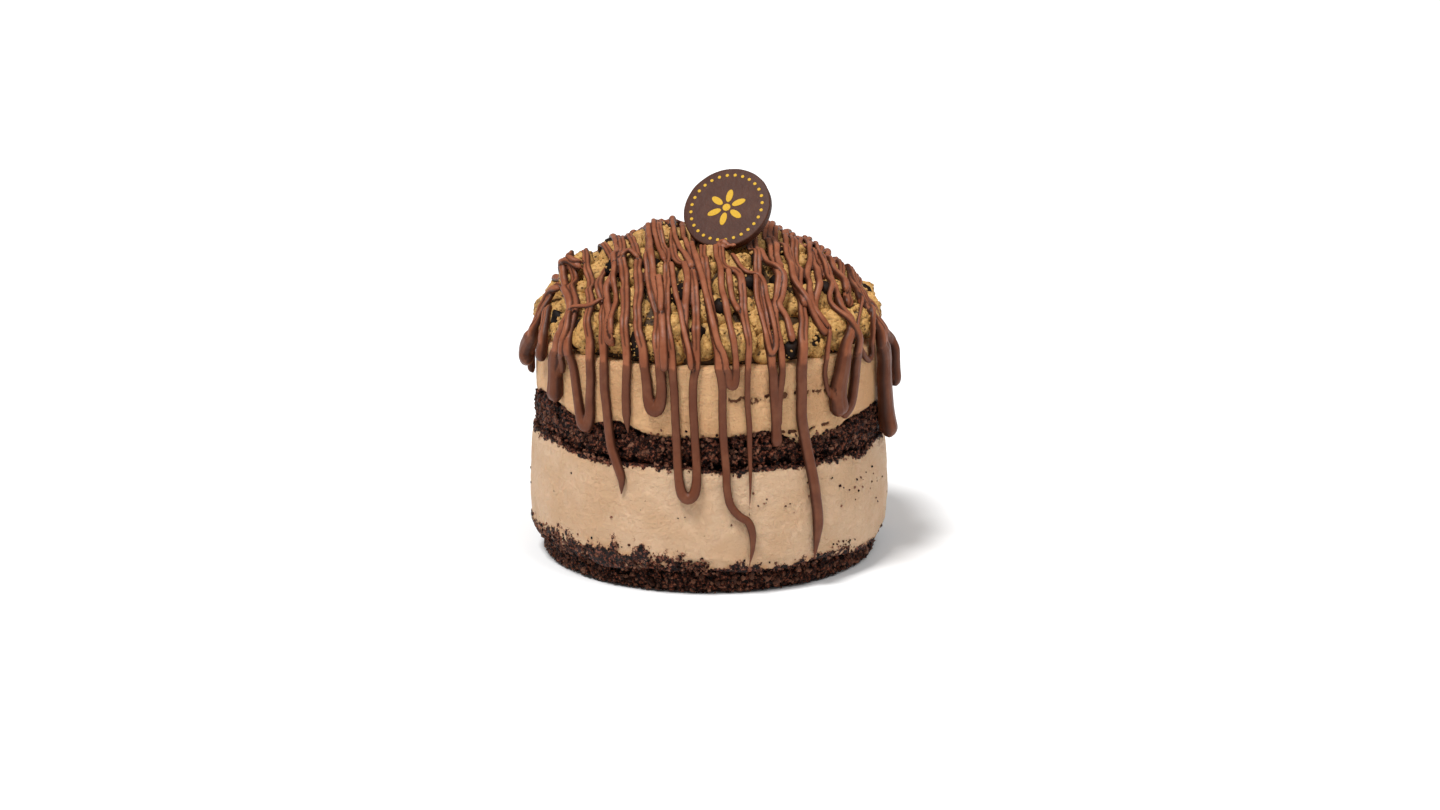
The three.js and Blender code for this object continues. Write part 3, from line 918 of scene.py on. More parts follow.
@dataclass
class Medallion:
    """The moulded chocolate disc with a plain printed ornament: a rosette in a ring of dots."""

    disc: Piece
    ornament: Piece
    radius: float = 15.7
    thickness: float = 3.0
    edge: float = 0.5
    uneven_edge: float = 0.12
    lean: float = math.radians(40)
    turn: float = math.radians(22)
    face: tuple[float, float, float] = (6.2, -8, 124.3)
    dots: int = 28
    dot_ring: float = 12.9
    dot_radius: float = 0.62
    petals: int = 6
    petal_ring: float = 4.6
    petal_radius: float = 1.25
    petal_stretch: float = 2.1
    heart_radius: float = 1.5
    print_depth: float = 0.12
    foot_room: float = 0.5
    back_room: float = 1.5
    front_room: float = 9.0
    dab_count: int = 14

    def stand(self) -> Matrix:
        """Sets what is drawn flat, face up, in the heap's top."""
        tilt = Matrix.Rotation(-self.turn, 4, "Z") @ Matrix.Rotation(math.pi / 2 - self.lean, 4, "X")
        return Matrix.Translation(self.face) @ tilt

    def axes(self) -> tuple[np.ndarray, np.ndarray]:
        """The disc's axes, one a column, and the middle of its face."""
        stand = np.array(self.stand())
        return stand[:3, :3], stand[:3, 3]

    def is_before(self, place: Vector) -> bool:
        """Whether a place lies on the side of the disc's face."""
        return (self.stand().inverted() @ place).z > -self.thickness / 2

    def pressed(self, places: np.ndarray, room: float, before: bool = True) -> np.ndarray:
        """Places moved out of the disc by the shortest way.

        Args:
            places: the places in millimetres.
            room: how far they are kept off the disc.
            before: whether they may come out before its face, which nothing behind it does.

        Returns:
            The places after that.
        """
        axes, middle = self.axes()
        flat = (places - middle) @ axes
        away = np.hypot(flat[:, 0], flat[:, 1])
        front = room - flat[:, 2] if before else np.full(len(flat), np.inf)
        gaps = np.stack([front, flat[:, 2] + self.thickness + room, self.radius + room - away])
        inside = (gaps > 0).all(axis=0)
        way = gaps.argmin(axis=0)
        flat[inside & (way == 0), 2] = room
        flat[inside & (way == 1), 2] = -self.thickness - room
        edge = inside & (way == 2)
        flat[edge, :2] *= ((self.radius + room) / away[edge])[:, None]
        return flat @ axes.T + middle

    def clear(self, mesh: Mesh, room: float = 0.06) -> None:
        """Presses a mesh that the disc is stuck in back to the disc's surface."""
        mesh.vertices.foreach_set("co", self.pressed(vertices_of(mesh), room).ravel())

    def hidden_by(self, places: np.ndarray, rooms: np.ndarray | float) -> np.ndarray:
        """Which places lie in the disc or just before its face, with room round its edge."""
        axes, middle = self.axes()
        flat = (places - middle) @ axes
        over = np.hypot(flat[:, 0], flat[:, 1]) < self.radius + rooms
        return over & (flat[:, 2] > -self.thickness - self.back_room) & (flat[:, 2] < self.front_room)

    def parted(self, ribbon: Ribbon, shortest: int = 6) -> list[Ribbon]:
        """The parts of a strand that neither cross the disc nor cover its face."""
        free = ~self.hidden_by(ribbon.places, self.foot_room * ribbon.halves)
        edges = np.flatnonzero(np.diff(np.r_[False, free, False].astype(int)))
        parts = [slice(*ends) for ends in zip(edges[::2], edges[1::2]) if ends[1] - ends[0] >= shortest]
        return [Ribbon(*(values[part] for values in ribbon)) for part in parts]

    def dabs(self) -> list[Ribbon]:
        """Short smears of drizzle that hold the disc at its foot."""
        rng = np.random.default_rng(8)
        axes, origin = self.axes()
        found = []
        for _ in range(self.dab_count):
            across = rng.uniform(-0.5, 6.5)
            low = -math.sqrt(self.radius**2 - across**2)
            middle = np.array([across, low + rng.uniform(-0.8, 2.0), rng.uniform(0.3, 0.8)])
            way = np.array([rng.uniform(0.5, 1.4), rng.uniform(-0.5, 0.5), 0])
            places = np.array([middle - way, middle, middle + way]) @ axes.T + origin
            side = np.cross(way / np.linalg.norm(way), (0, 0, 1)) @ axes.T
            halves = rng.uniform(0.7, 1.1) * np.array([0.6, 1, 0.6])
            found.append(Ribbon(places, np.tile(side, (3, 1)), halves, np.full(3, 0.8)))
        return found

    def build(self) -> None:
        """Makes the disc and its print."""
        body = bmesh.new()
        bmesh.ops.create_cone(
            body,
            cap_ends=True,
            segments=128,
            radius1=self.radius,
            radius2=self.radius,
            depth=self.thickness,
            matrix=Matrix.Translation((0, 0, -self.thickness / 2)),
        )
        rims = [edge for edge in body.edges if abs(edge.verts[0].co.z - edge.verts[1].co.z) < 0.1]
        bmesh.ops.bevel(
            body, geom=rims, offset=self.edge, segments=4, profile=0.5, affect="EDGES", material=-1
        )
        caps = [face for face in body.faces if len(face.verts) > 4]
        for _ in range(3):
            bmesh.ops.inset_region(body, faces=caps, thickness=self.radius / 4.5)
        for vertex in body.verts:
            out = Vector((vertex.co.x, vertex.co.y, 0))
            if out.length > self.radius - 2 * self.edge:
                vertex.co += out.normalized() * self.uneven_edge * ripple(vertex.co, 5, 2)
        body.transform(self.stand())
        self.disc.place(mesh_from(body, self.disc.name))
        self.build_ornament()

    def build_ornament(self) -> None:
        """Draws the dots and the rosette in relief on the face."""
        art = bmesh.new()
        for number in range(self.dots):
            self.add_spot(art, number / self.dots, self.dot_ring, self.dot_radius)
        for number in range(self.petals):
            turn = (number + 0.5) / self.petals
            self.add_spot(art, turn, self.petal_ring, self.petal_radius, self.petal_stretch)
        self.add_spot(art, 0, 0, self.heart_radius)
        art.transform(self.stand())
        self.ornament.place(mesh_from(art, self.ornament.name), smooth=False)

    def add_spot(self, art: Body, turn: float, out: float, radius: float, stretch: float = 1) -> None:
        """Adds one raised spot.

        Args:
            art: what it is added to.
            turn: its place round the middle, as a share of a turn.
            out: how far from the middle it lies.
            radius: its radius.
            stretch: how many times as long it is outwards.
        """
        place = Matrix.Rotation(turn * 2 * math.pi, 4, "Z") @ Matrix.Translation((out, 0, 0))
        bmesh.ops.create_cone(
            art,
            cap_ends=True,
            segments=20,
            radius1=radius,
            radius2=0.93 * radius,
            depth=2 * self.print_depth,
            matrix=place @ Matrix.Diagonal((stretch, 1, 1, 1)),
        )


@dataclass
class Chunk:
    """One broken piece of dough or chocolate: a ball cut by flats, blunted, lumpy and cracked."""

    middle: Vector
    size: float
    seed: int
    detail: int = 4
    flats: int = 11
    bluntness: int = 7
    widest: float = 1.14
    crack_width: float = 0.07
    crack_depth: float = 0.1

    def shape(self) -> tuple[np.ndarray, np.ndarray, np.ndarray]:
        """Makes the chunk.

        Returns:
            Its vertices, its faces and how deep each vertex lies in a crack.
        """
        rng = np.random.default_rng(self.seed)
        ball, faces = ball_of(self.detail)
        ways = rng.normal(size=(self.flats, 3))
        ways /= np.linalg.norm(ways, axis=1)[:, None]
        facing = np.clip(ball @ ways.T, 0, None) / rng.uniform(0.86, 1.08, self.flats)
        radius = (facing**self.bluntness).sum(axis=1) ** (-1 / self.bluntness)
        radius = np.minimum(radius, self.widest)
        shift = Vector(rng.uniform(0, 50, 3))
        depth = np.zeros(len(ball))
        for index, way in enumerate(ball):
            place = Vector(way) + shift
            lumps = 0.1 * noise.noise(place * 1.7) + 0.045 * noise.noise(place * 4.3)
            lumps += 0.02 * noise.noise(place * 10)
            ridge = abs(noise.noise(place * 1.3 + Vector((9, 0, 0))))
            # How deep in a crack, which the dough paints in shade.
            depth[index] = 0.85 * max(0.0, 1 - ridge / self.crack_width) ** 1.5
            radius[index] *= 1 + lumps - self.crack_depth * depth[index]
        squeeze = np.array([1, rng.uniform(0.8, 1.1), rng.uniform(0.8, 1)])
        places = ball * radius[:, None] * self.size * squeeze
        return places @ turned(rng) + np.array(self.middle), faces, 0.8 * depth


def under_outline(x: float, y: float, depth: float) -> Vector:
    """A place a depth under the heap's outline."""
    return Vector((x, y, heap_height(x, y))) - heap_normal(x, y) * depth


def chunk_size(number: int) -> float:
    """Size of the nth large chunk."""
    return CHUNK_RADIUS * (0.85 + 0.35 * uneven(number, 1))


@dataclass
class DoughHeap:
    """The heap of cookie dough chunks with dark chocolate pieces between them, which also stand in for
    painted shade in the gaps.

    The dark pieces are placed one by one in front, as x and y, and by a rule behind. Crumbs fall on it
    from above its outline, over the length of the fall.
    """

    sides: tuple[tuple[Piece, float, float], ...]
    core: Piece
    dark: Piece
    crumbs: Piece
    medallion: Medallion
    fine_before: float = 12.0
    fillers: int = 130
    filler_seed: int = 500
    crumb_count: int = 5200
    dark_size: float = 3.4
    dark_sunk: float = 0.45
    dark_seed: int = 900
    dark_seed_behind: int = 950
    dark_behind: int = 18
    dark_reach: float = 60.0
    core_inset: float = 4.5
    core_rings: int = 40
    core_steps: int = 160
    press_room: float = 0.1
    fall: float = 10.0
    fall_length: float = 22.0
    crumb_least: float = 0.35
    crumb_spread: float = 0.8
    dark_places: Pairs = (
        (-20.5, -26), (-8, -45), (4, -50), (24, -36), (14, -39), (40, -28), (54, -16), (-53, -24),
        (-44, -38), (28, -53), (36, -47), (-24, -54), (-33, -20), (24.5, -14), (16, -24), (-4, -57),
    )

    def rim_chunks(self) -> list[Chunk]:
        """The row round the rim, where the solids have it."""
        found = []
        for number in range(RIM_CHUNKS):
            size = chunk_size(number)
            angle = (number + 0.3 * uneven(number, 6)) / RIM_CHUNKS * 2 * math.pi
            radius = CAKE_RADIUS - CHUNK_SUNK * size - uneven(number, 7)
            height = RIM_CHUNK_HEIGHT + 2 * uneven(number, 8) - 1
            found.append(Chunk(Vector((*around(radius, angle), height)), size, number))
        return found

    def crown_chunks(self) -> list[Chunk]:
        """The spiral over the crown, where the solids have it."""
        found = []
        for number in range(CROWN_CHUNKS):
            radius = heap_radius_for(CROWN_SHARE * (number + 0.5) / CROWN_CHUNKS)
            size = chunk_size(RIM_CHUNKS + number)
            middle = under_outline(*around(radius, number * GOLDEN_ANGLE), CHUNK_SUNK * size)
            found.append(Chunk(middle, size, RIM_CHUNKS + number))
        return found

    def filler_chunks(self) -> list[Chunk]:
        """Smaller chunks that fill the gaps between the large ones."""
        found = []
        for number in range(self.fillers):
            radius = heap_radius_for(0.97 * (number + 0.5) / self.fillers)
            size = 2.6 + 2.4 * uneven(number, 21)
            angle = (number + 0.5) * GOLDEN_ANGLE + 1
            middle = under_outline(*around(radius, angle), 0.9 * size + 0.8)
            middle.z = max(middle.z, ICE_TOP + 0.7 * size)
            found.append(Chunk(middle, size, self.filler_seed + number, 3))
        return found

    def dark_chunks(self) -> list[Chunk]:
        """The dark chocolate pieces, which also stand in for painted shade in the gaps between the dough
        chunks.
        """
        sites = [
            (place, uneven(number, 22), self.dark_seed + number)
            for number, place in enumerate(self.dark_places)
        ]
        for number in range(self.dark_behind):
            angle = math.pi * (uneven(number, 23) * 0.9 + 0.05)
            place = around(self.dark_reach * math.sqrt(uneven(number, 24)), angle)
            sites.append((place, uneven(number, 25), self.dark_seed_behind + number))
        found = []
        for place, share, seed in sites:
            size = self.dark_size * (0.8 + 0.5 * share)
            found.append(Chunk(under_outline(*place, self.dark_sunk * size), size, seed, 3))
        return found

    def build(self) -> BVHTree:
        """Makes the dough, the dark pieces and the crumbs.

        Returns:
            The heap's surface in millimetres, for the drizzle to lie on.
        """
        large = self.rim_chunks() + self.crown_chunks()
        large = [replace(chunk, detail=5 if chunk.middle.y < self.fine_before else 4) for chunk in large]
        dough = large + self.filler_chunks()
        gathered = [(self.dark, self.rubble(self.dark_chunks())), (self.core, self.core_rubble())]
        for piece, low, high in self.sides:
            chosen = [chunk for chunk in dough if low <= chunk.middle.x < high]
            gathered.append((piece, self.rubble(chosen)))
        heap = Rubble()
        for piece, rubble in gathered:
            heap.add(*rubble.whole())
            piece.place(rubble.mesh(piece.name))
        surface = BVHTree.FromPolygons(*(values.tolist() for values in heap.whole()))
        self.strew(surface)
        return surface

    def rubble(self, chunks: list[Chunk]) -> Rubble:
        """Chunks gathered and pressed off the medallion."""
        rubble = Rubble()
        for chunk in chunks:
            places, faces, depth = chunk.shape()
            before = self.medallion.is_before(chunk.middle)
            rubble.add(self.medallion.pressed(places, self.press_room, before), faces, depth)
        return rubble

    def core_rubble(self) -> Rubble:
        """The lumpy core that closes the heap just under the chunks, painted all over in the dough's crack
        shade.
        """
        inset = self.core_inset
        outline = []
        for step in range(self.core_rings):
            share = step / self.core_rings
            radius = CAKE_RADIUS * math.cos(share * math.pi / 2)
            outline.append((radius * (1 - inset / CAKE_RADIUS), dome_height(radius) - inset * share))
        outline.append((0, dome_height(0) - inset))
        body = spun([(0, ICE_TOP), *outline], self.core_steps)
        bmesh.ops.triangulate(body, faces=body.faces)
        for vertex in body.verts:
            if vertex.co.z > ICE_TOP + 1:
                vertex.co += vertex.normal * 0.8 * ripple(vertex.co, 3, 4)
        core = Rubble()
        # The whole core gets the dough's painted crack shade.
        core.add(*arrays_from(body), 0.9)
        return core

    def strew(self, surface: BVHTree) -> None:
        """Drops small crumbs of dough on the heap, in patches."""
        rng = np.random.default_rng(31)
        faces = ball_of(1)[1]
        crumbs = Rubble()
        for _ in range(self.crumb_count):
            radius = heap_radius_for(rng.uniform(0.01, 0.99))
            x, y = around(radius, rng.uniform(0, 2 * math.pi))
            if rng.uniform(-0.3, 0.5) > noise.noise(Vector((x / 9, y / 9, 3))):
                continue
            out = heap_normal(x, y)
            start = Vector((x, y, heap_height(x, y))) + out * self.fall
            hit = surface.ray_cast(start, -out, self.fall_length)[0]
            if hit is None or hit.z < ICE_TOP + 0.5 or self.medallion.hidden_by(np.array([hit]), 0.5)[0]:
                continue
            size = self.crumb_least + self.crumb_spread * rng.random() ** 2
            places = np.array(hit) + pebble(rng, size, 0.6, 0.12)
            crumbs.add(self.medallion.pressed(places, self.press_room), faces, 0.1)
        self.crumbs.place(crumbs.mesh(self.crumbs.name))


class End(Enum):
    """How the lower end of a strand goes: the length of its taper, how much it swells and how far up."""

    BLUNT = (1.8, 0.0, 4.5)
    BEAD = (2.4, 0.4, 4.5)
    DROP = (3.0, 0.45, 12.0)
    TIP = (7.0, 0.0, 4.5)
    POINTED = (13.0, 0.0, 4.5)
    DRAWN = (28.0, 0.0, 4.5)


@dataclass(frozen=True)
class Strand:
    """One pass of the drizzle, as it hangs in front.

    Its widths are down the side and on the heap. A station is x and how far the strand is past the
    heap's rim: minus on the heap, plus down the side. Far says how each end that crosses the crown
    goes on: at x over the far rim as in the solids, or None where it turns back on the heap.
    """

    width: float
    top: float
    route: Pairs
    far: tuple[float | None, ...] = ()
    end: End = End.BLUNT
    stand: float = 0.0


STRANDS = (
    Strand(5, 2.8, (
        (-51.5, -20.5), (-54, -20), (-58, -6), (-59.6, -1), (-60.5, 4), (-60.5, 11.4),
    ), end=End.DROP, stand=1.2),
    Strand(3.2, 2.4, ((-51.5, -19), (-56.5, -15.5), (-60, -4), (-61.1, 4.5), (-61.1, 17.6)), stand=0.6),
    Strand(3.7, 3.6, ((-55, -11.5), (-56, -5.5), (-56.4, 1), (-56.2, 6.8)), end=End.BEAD, stand=0.6),
    Strand(4.4, 2.6, (
        (-51, -28.5), (-50, -22), (-46.5, -9), (-48, -3.4), (-50.4, -0.4), (-51.3, 4), (-51.3, 11),
        (-51.4, 18),
    ), (-55,), End.DROP),
    Strand(2.4, 2.2, ((-45.5, -8), (-46.2, -2.5), (-48.4, 1), (-49, 4), (-49.8, 8.5))),
    Strand(3.1, 3.2, (
        (-48, -30.5), (-47, -19.5), (-45.5, -8.5), (-46.1, -1.3), (-45.4, 2), (-44.4, 11), (-43, 20),
        (-41.9, 23.3), (-40.6, 23.6), (-39.8, 21), (-39.6, 14.4), (-39.4, 4.9), (-39.6, -1.1),
        (-39.8, -8.5), (-41.5, -23.5), (-42.5, -34),
    ), (-49.5, None)),
    Strand(2.2, 2.2, ((-47.5, -31), (-45, -31.5), (-43, -34))),
    Strand(3, 2.6, ((-50.5, -27.5), (-47.5, -30), (-44, -30.5))),
    Strand(3.1, 3, (
        (-34.5, -35.5), (-37, -30.5), (-37.5, -22.5), (-36, -12.5), (-35.7, -4.5), (-34.8, -0.1),
        (-34.5, 8.8), (-33.7, 18.8), (-32.5, 28.5), (-30.1, 34.4), (-28.2, 39.2), (-28.2, 45.4),
    ), (-39,), End.TIP),
    Strand(1.5, 1.5, ((-35.5, -13), (-38.5, -10.5), (-45.5, -8.5))),
    Strand(3.8, 2.4, (
        (-32.5, -48.5), (-32, -34), (-32.5, -24), (-34.5, -16.5), (-32, -1.5),
    ), (-34.5,), End.BEAD),
    Strand(1.9, 1.9, ((-31.5, -29.5), (-32, -17.5), (-31, -3))),
    Strand(2.9, 3.2, (
        (-30.5, -48), (-29.5, -33.5), (-28.5, -17.5), (-27.3, -4.5), (-27.3, 7.7), (-27.3, 15.7),
        (-27.1, 24.2),
    ), (None,), End.TIP),
    Strand(3.1, 3.1, (
        (-27.5, -52), (-25, -38.5), (-24, -24), (-23.4, -6), (-21.4, -1), (-20.4, 6), (-19.8, 11.4),
        (-18.6, 14.4), (-17.4, 14.8), (-16.2, 13), (-15.5, 8.3), (-15.9, 1.8), (-16.6, -2.1), (-17.4, -8),
        (-20, -20), (-20.5, -37), (-21, -49),
    ), (None, None)),
    Strand(2, 2, ((-29.5, -32.5), (-27, -36.5), (-24, -34))),
    Strand(1.9, 2.4, (
        (-21, -51.5), (-19, -29), (-18.5, -20.5), (-15.2, -7), (-14.4, -2), (-14.5, 1.2),
    ), (None,), End.BEAD, 1.2),
    Strand(2.2, 2.2, ((-19, -52), (-17.5, -43), (-15, -31.5)), (None,)),
    Strand(2.7, 2.8, (
        (-17, -52), (-14.5, -39), (-14.5, -23.5), (-13.8, -6), (-12.2, -0.5), (-11.5, 6.3), (-11.1, 16.3),
        (-10.6, 26.1), (-10.1, 33.6), (-9.2, 40.4), (-8.2, 43.2), (-6.6, 44.3), (-5, 43.2), (-4.1, 40),
        (-4, 33.3), (-4.5, 25.8), (-5.2, 10.5), (-5, 3.7), (-4.1, -1.5), (-4.1, -5), (-5, -19), (-6.5, -28),
        (-11.5, -35.5),
    ), (-17, None)),
    Strand(2.2, 2.2, ((-17, -24), (-16, -15), (-15.5, -8.5))),
    Strand(2, 1.8, ((-13, -31.5), (-11, -15.5), (-7.4, -3), (-5.5, 0.4)), stand=0.8),
    Strand(2, 2.4, (
        (-8.5, -30), (-7, -19.5), (-8, -5), (-7.2, -2.1), (-6.1, -0.7), (-5, 0.6),
    ), end=End.BEAD, stand=0.8),
    Strand(2.1, 2.1, ((-12, -52), (-8, -35.5), (-5.5, -25.5)), (None,)),
    Strand(2.4, 2.4, ((-8.5, -52), (-4.5, -30), (-2, -19.5)), (None,)),
    Strand(1.9, 2.2, (
        (-5.5, -41), (-3.5, -27.5), (0.5, -9), (3, -2.4), (4.9, -0.9), (6.3, 0.8), (6.7, 4), (7.3, 6),
        (8.2, 6), (8.9, 4), (9, 0.3), (8.3, -1.6), (7, -5), (4.5, -16), (4, -26.5), (2.5, -39),
    ), (None, None), stand=0.4),
    Strand(2.6, 3.2, (
        (-2, -40), (-1, -26), (-0.5, -16), (1.7, -5), (3.2, -0.7), (4.3, 6.1), (4.5, 16.1), (4.9, 25.8),
        (5.6, 34.8), (5.8, 41.3), (7, 47), (9.8, 50.8), (12.3, 52.7), (13.7, 56.3), (14, 62.1), (13, 69),
    ), (1,), End.POINTED),
    Strand(1.9, 2.8, (
        (4.5, -38), (6.5, -28), (10, -24), (11.5, -16.5), (12.2, -5), (13.1, -1.3), (12.8, 1), (12.8, 11.2),
        (13.4, 21.4), (13.5, 35), (12.9, 51),
    ), (5.5,), End.DRAWN),
    Strand(2.2, 2.2, ((6.5, -25.5), (7.5, -17), (10, -9.5))),
    Strand(1.7, 1.7, (
        (7.5, -36.5), (13, -25.5), (17, -24.5), (21, -6), (22, -1.5), (20, -1), (16.5, -12), (15.5, -22.5),
    )),
    Strand(2.9, 2.8, (
        (14.5, -42.5), (16.5, -34.5), (18, -14.5), (19.6, -3), (21, 0.5), (21.3, 8), (22, 16), (22.4, 28.2),
    ), (12.5,), End.BEAD),
    Strand(2.2, 2.6, (
        (20.5, -51.5), (22, -37), (23, -14.5), (22, -6.5), (24.2, -0.5), (24, 5), (23.2, 11), (23, 22),
    ), (None,), stand=0.3),
    Strand(2.6, 2, (
        (16.5, -43.5), (21, -27), (24.5, -21), (24.5, -13.5), (23.5, -10.5), (26, -7), (27, -2),
    ), (None,), End.BEAD),
    Strand(2.4, 2.6, ((22, -52), (23, -46), (23.5, -24)), (None,)),
    Strand(3.6, 3.6, (
        (29.5, -45.5), (31, -33.5), (31.5, -21.5), (31.6, -8), (30.7, -2), (30.6, 8.3), (30.7, 18.3),
        (32.1, 28.4), (33.1, 37.4), (34, 46.1), (34.9, 55.3), (34.3, 69.5),
    ), (30,), End.POINTED),
    Strand(2.4, 2.6, ((27, -49.5), (28, -36.5), (29, -24.5), (32, -10)), (None,)),
    Strand(2.2, 2.2, (
        (24, -52), (26, -43.5), (27.5, -29), (29.5, -18.5), (37.5, -4), (40.5, -3),
    ), (24.5,), End.BEAD),
    Strand(2, 2.2, ((35, -39), (34.5, -26.5), (36, -8), (40.5, -3)), (None,)),
    Strand(1.7, 1.9, ((39.5, -3.6), (39.4, -0.3), (38.9, 4.9), (39.6, 9.9), (41, 14.5))),
    Strand(2.6, 2.6, ((36, -39), (37.5, -27), (36.5, -9.5)), (None,)),
    Strand(2.2, 2.4, ((33.5, -48), (37, -44), (40.5, -24)), (None,)),
    Strand(3.4, 1.9, (
        (38, -52), (39.5, -31.5), (41, -20.5), (41, -9), (46.5, -2.4), (48.7, 0.4), (49.2, 5), (48.9, 12),
        (47.6, 18.5), (44.6, 22),
    ), (None,)),
    Strand(4.8, 2.4, (
        (39.5, -52), (40.5, -32), (43.5, -20.5), (44, -13.5), (45.6, -3), (44.8, -0.3), (44.1, 4.6),
        (42.9, 11), (42.8, 16.5), (43.6, 20.6),
    ), (None,), End.DROP),
    Strand(5.2, 2.8, ((46.5, -34.5), (47.5, -23.5), (48.5, -11)), (45.5,), End.BEAD),
    Strand(2.2, 2.6, ((43, -35.5), (45.5, -26.5), (47, -16.5)), (None,)),
    Strand(1.3, 1.3, ((51, -14), (50.5, -4), (50.5, 2))),
    Strand(5.3, 3.8, (
        (50.5, -26.5), (52.5, -10), (56.2, -1.5), (57.8, 5), (58.4, 15), (58.9, 25), (58.8, 35.4),
    ), (None,), End.DROP, 1.3),
    Strand(2, 2, ((53.5, -10), (54, -4), (55.7, 3), (54.4, 5.4), (53, 3.4), (51.3, -1))),
    Strand(3, 2.8, ((50, -30.5), (54.5, -9), (58.6, -1), (60.2, 8), (60.6, 20)), (49.5,), stand=0.8),
    Strand(4.6, 3, ((54, -23.5), (57.5, -15.5), (59.5, -4), (61, 4), (61, 20.5)), (53.5,), End.BEAD, 3),
)


def centripetal(stations: np.ndarray, steps: int) -> np.ndarray:
    """A smooth line through stations, as the solids draw it.

    Args:
        stations: the points it passes, one a row.
        steps: how many points it gets between two stations.

    Returns:
        The line's points.
    """
    ends = np.vstack([2 * stations[0] - stations[1], stations, 2 * stations[-1] - stations[-2]])
    found = []
    for before, start, stop, after in zip(ends, ends[1:], ends[2:], ends[3:]):
        pairs = ((before, start), (start, stop), (stop, after))
        gaps = [max(np.linalg.norm(b - a) ** 0.5, 1e-4) for a, b in pairs]
        leave = (start - before) / gaps[0] - (stop - before) / (gaps[0] + gaps[1]) + (stop - start) / gaps[1]
        arrive = (stop - start) / gaps[1] - (after - start) / (gaps[1] + gaps[2]) + (after - stop) / gaps[2]
        leave, arrive = leave * gaps[1], arrive * gaps[1]
        for step in range(steps):
            t = step / steps
            found.append(
                start
                + leave * t
                + (3 * (stop - start) - 2 * leave - arrive) * t**2
                + (2 * (start - stop) + leave + arrive) * t**3
            )
    found.append(stations[-1])
    return np.array(found)


def evenly(line: np.ndarray, spacing: float) -> np.ndarray:
    """The line's points picked at an even spacing over the cake's outside."""
    places = [surface_at(x, run)[0] for x, run in line]
    lengths = [0.0]
    for before, after in zip(places, places[1:]):
        lengths.append(lengths[-1] + (after - before).length)
    wanted = np.arange(0, lengths[-1], spacing)
    return np.c_[np.interp(wanted, lengths, line[:, 0]), np.interp(wanted, lengths, line[:, 1])]


def settled(ground: np.ndarray, sags: int = 60, sag: float = 0.006, softens: int = 6) -> np.ndarray:
    """A soft strand laid on the ground's tops, where it sags a little between them.

    Args:
        ground: heights of the ground along the strand.
        sags: how often it sinks.
        sag: how far it sinks each time.
        softens: how often its bends are softened after that.

    Returns:
        The strand's heights.
    """
    heights = ground.copy()
    for _ in range(sags):
        between = heights.copy()
        between[1:-1] = (heights[:-2] + heights[2:]) / 2 - sag
        heights = np.maximum(ground, between)
    for _ in range(softens):
        heights[1:-1] = (heights[:-2] + 2 * heights[1:-1] + heights[2:]) / 4
    return heights


@dataclass
class DrapeField:
    """How high the heap stands over its even outline, cell by cell, as strands are laid on it.

    The heap is felt for from above its outline, over the length of the probe.
    """

    surface: BVHTree
    cell: float = 0.5
    reach: float = 74.0
    beyond: float = 6.0
    above: float = 12.0
    probe: float = 20.0
    deepest: float = 6.0

    def __post_init__(self) -> None:
        """Measures the bare heap."""
        across = int(2 * CAKE_RADIUS / self.cell) + 1
        along = int(2 * self.reach / self.cell) + 1
        self.heights = np.zeros((across, along))
        for i in range(across):
            x = i * self.cell - CAKE_RADIUS
            for j in range(along):
                run = j * self.cell - self.reach
                place, out, past = surface_at(x, run)
                if past > self.beyond:
                    continue
                distance = self.surface.ray_cast(place + out * self.above, -out, self.probe)[3]
                lowest = -self.deepest * smoothstep(1, -3, past)
                found = lowest if distance is None else self.above - distance
                self.heights[i, j] = max(found, lowest)

    def index(self, x: float, run: float) -> tuple[int, int]:
        """The cell at a place."""
        i = int(np.clip((x + CAKE_RADIUS) / self.cell, 0, self.heights.shape[0] - 1))
        j = int(np.clip((run + self.reach) / self.cell, 0, self.heights.shape[1] - 1))
        return i, j

    def highest(self, x: float, run: float, half: float) -> float:
        """The highest ground under a strand of that half width."""
        i, j = self.index(x, run)
        spread = max(int(0.6 * half / self.cell), 1)
        return float(self.heights[max(i - spread, 0) : i + spread + 1, j].max())

    def lay(self, x: float, run: float, half: float, top: float) -> None:
        """Raises the ground where a strand now lies."""
        i, j = self.index(x, run)
        spread = int(half / self.cell)
        for step in range(-spread, spread + 1):
            row = i + step
            if 0 <= row < self.heights.shape[0]:
                fall = half * (1 - math.sqrt(max(1 - (step * self.cell / half) ** 2, 0)))
                columns = slice(max(j - 1, 0), j + 2)
                self.heights[row, columns] = np.maximum(self.heights[row, columns], top - 0.8 * fall)


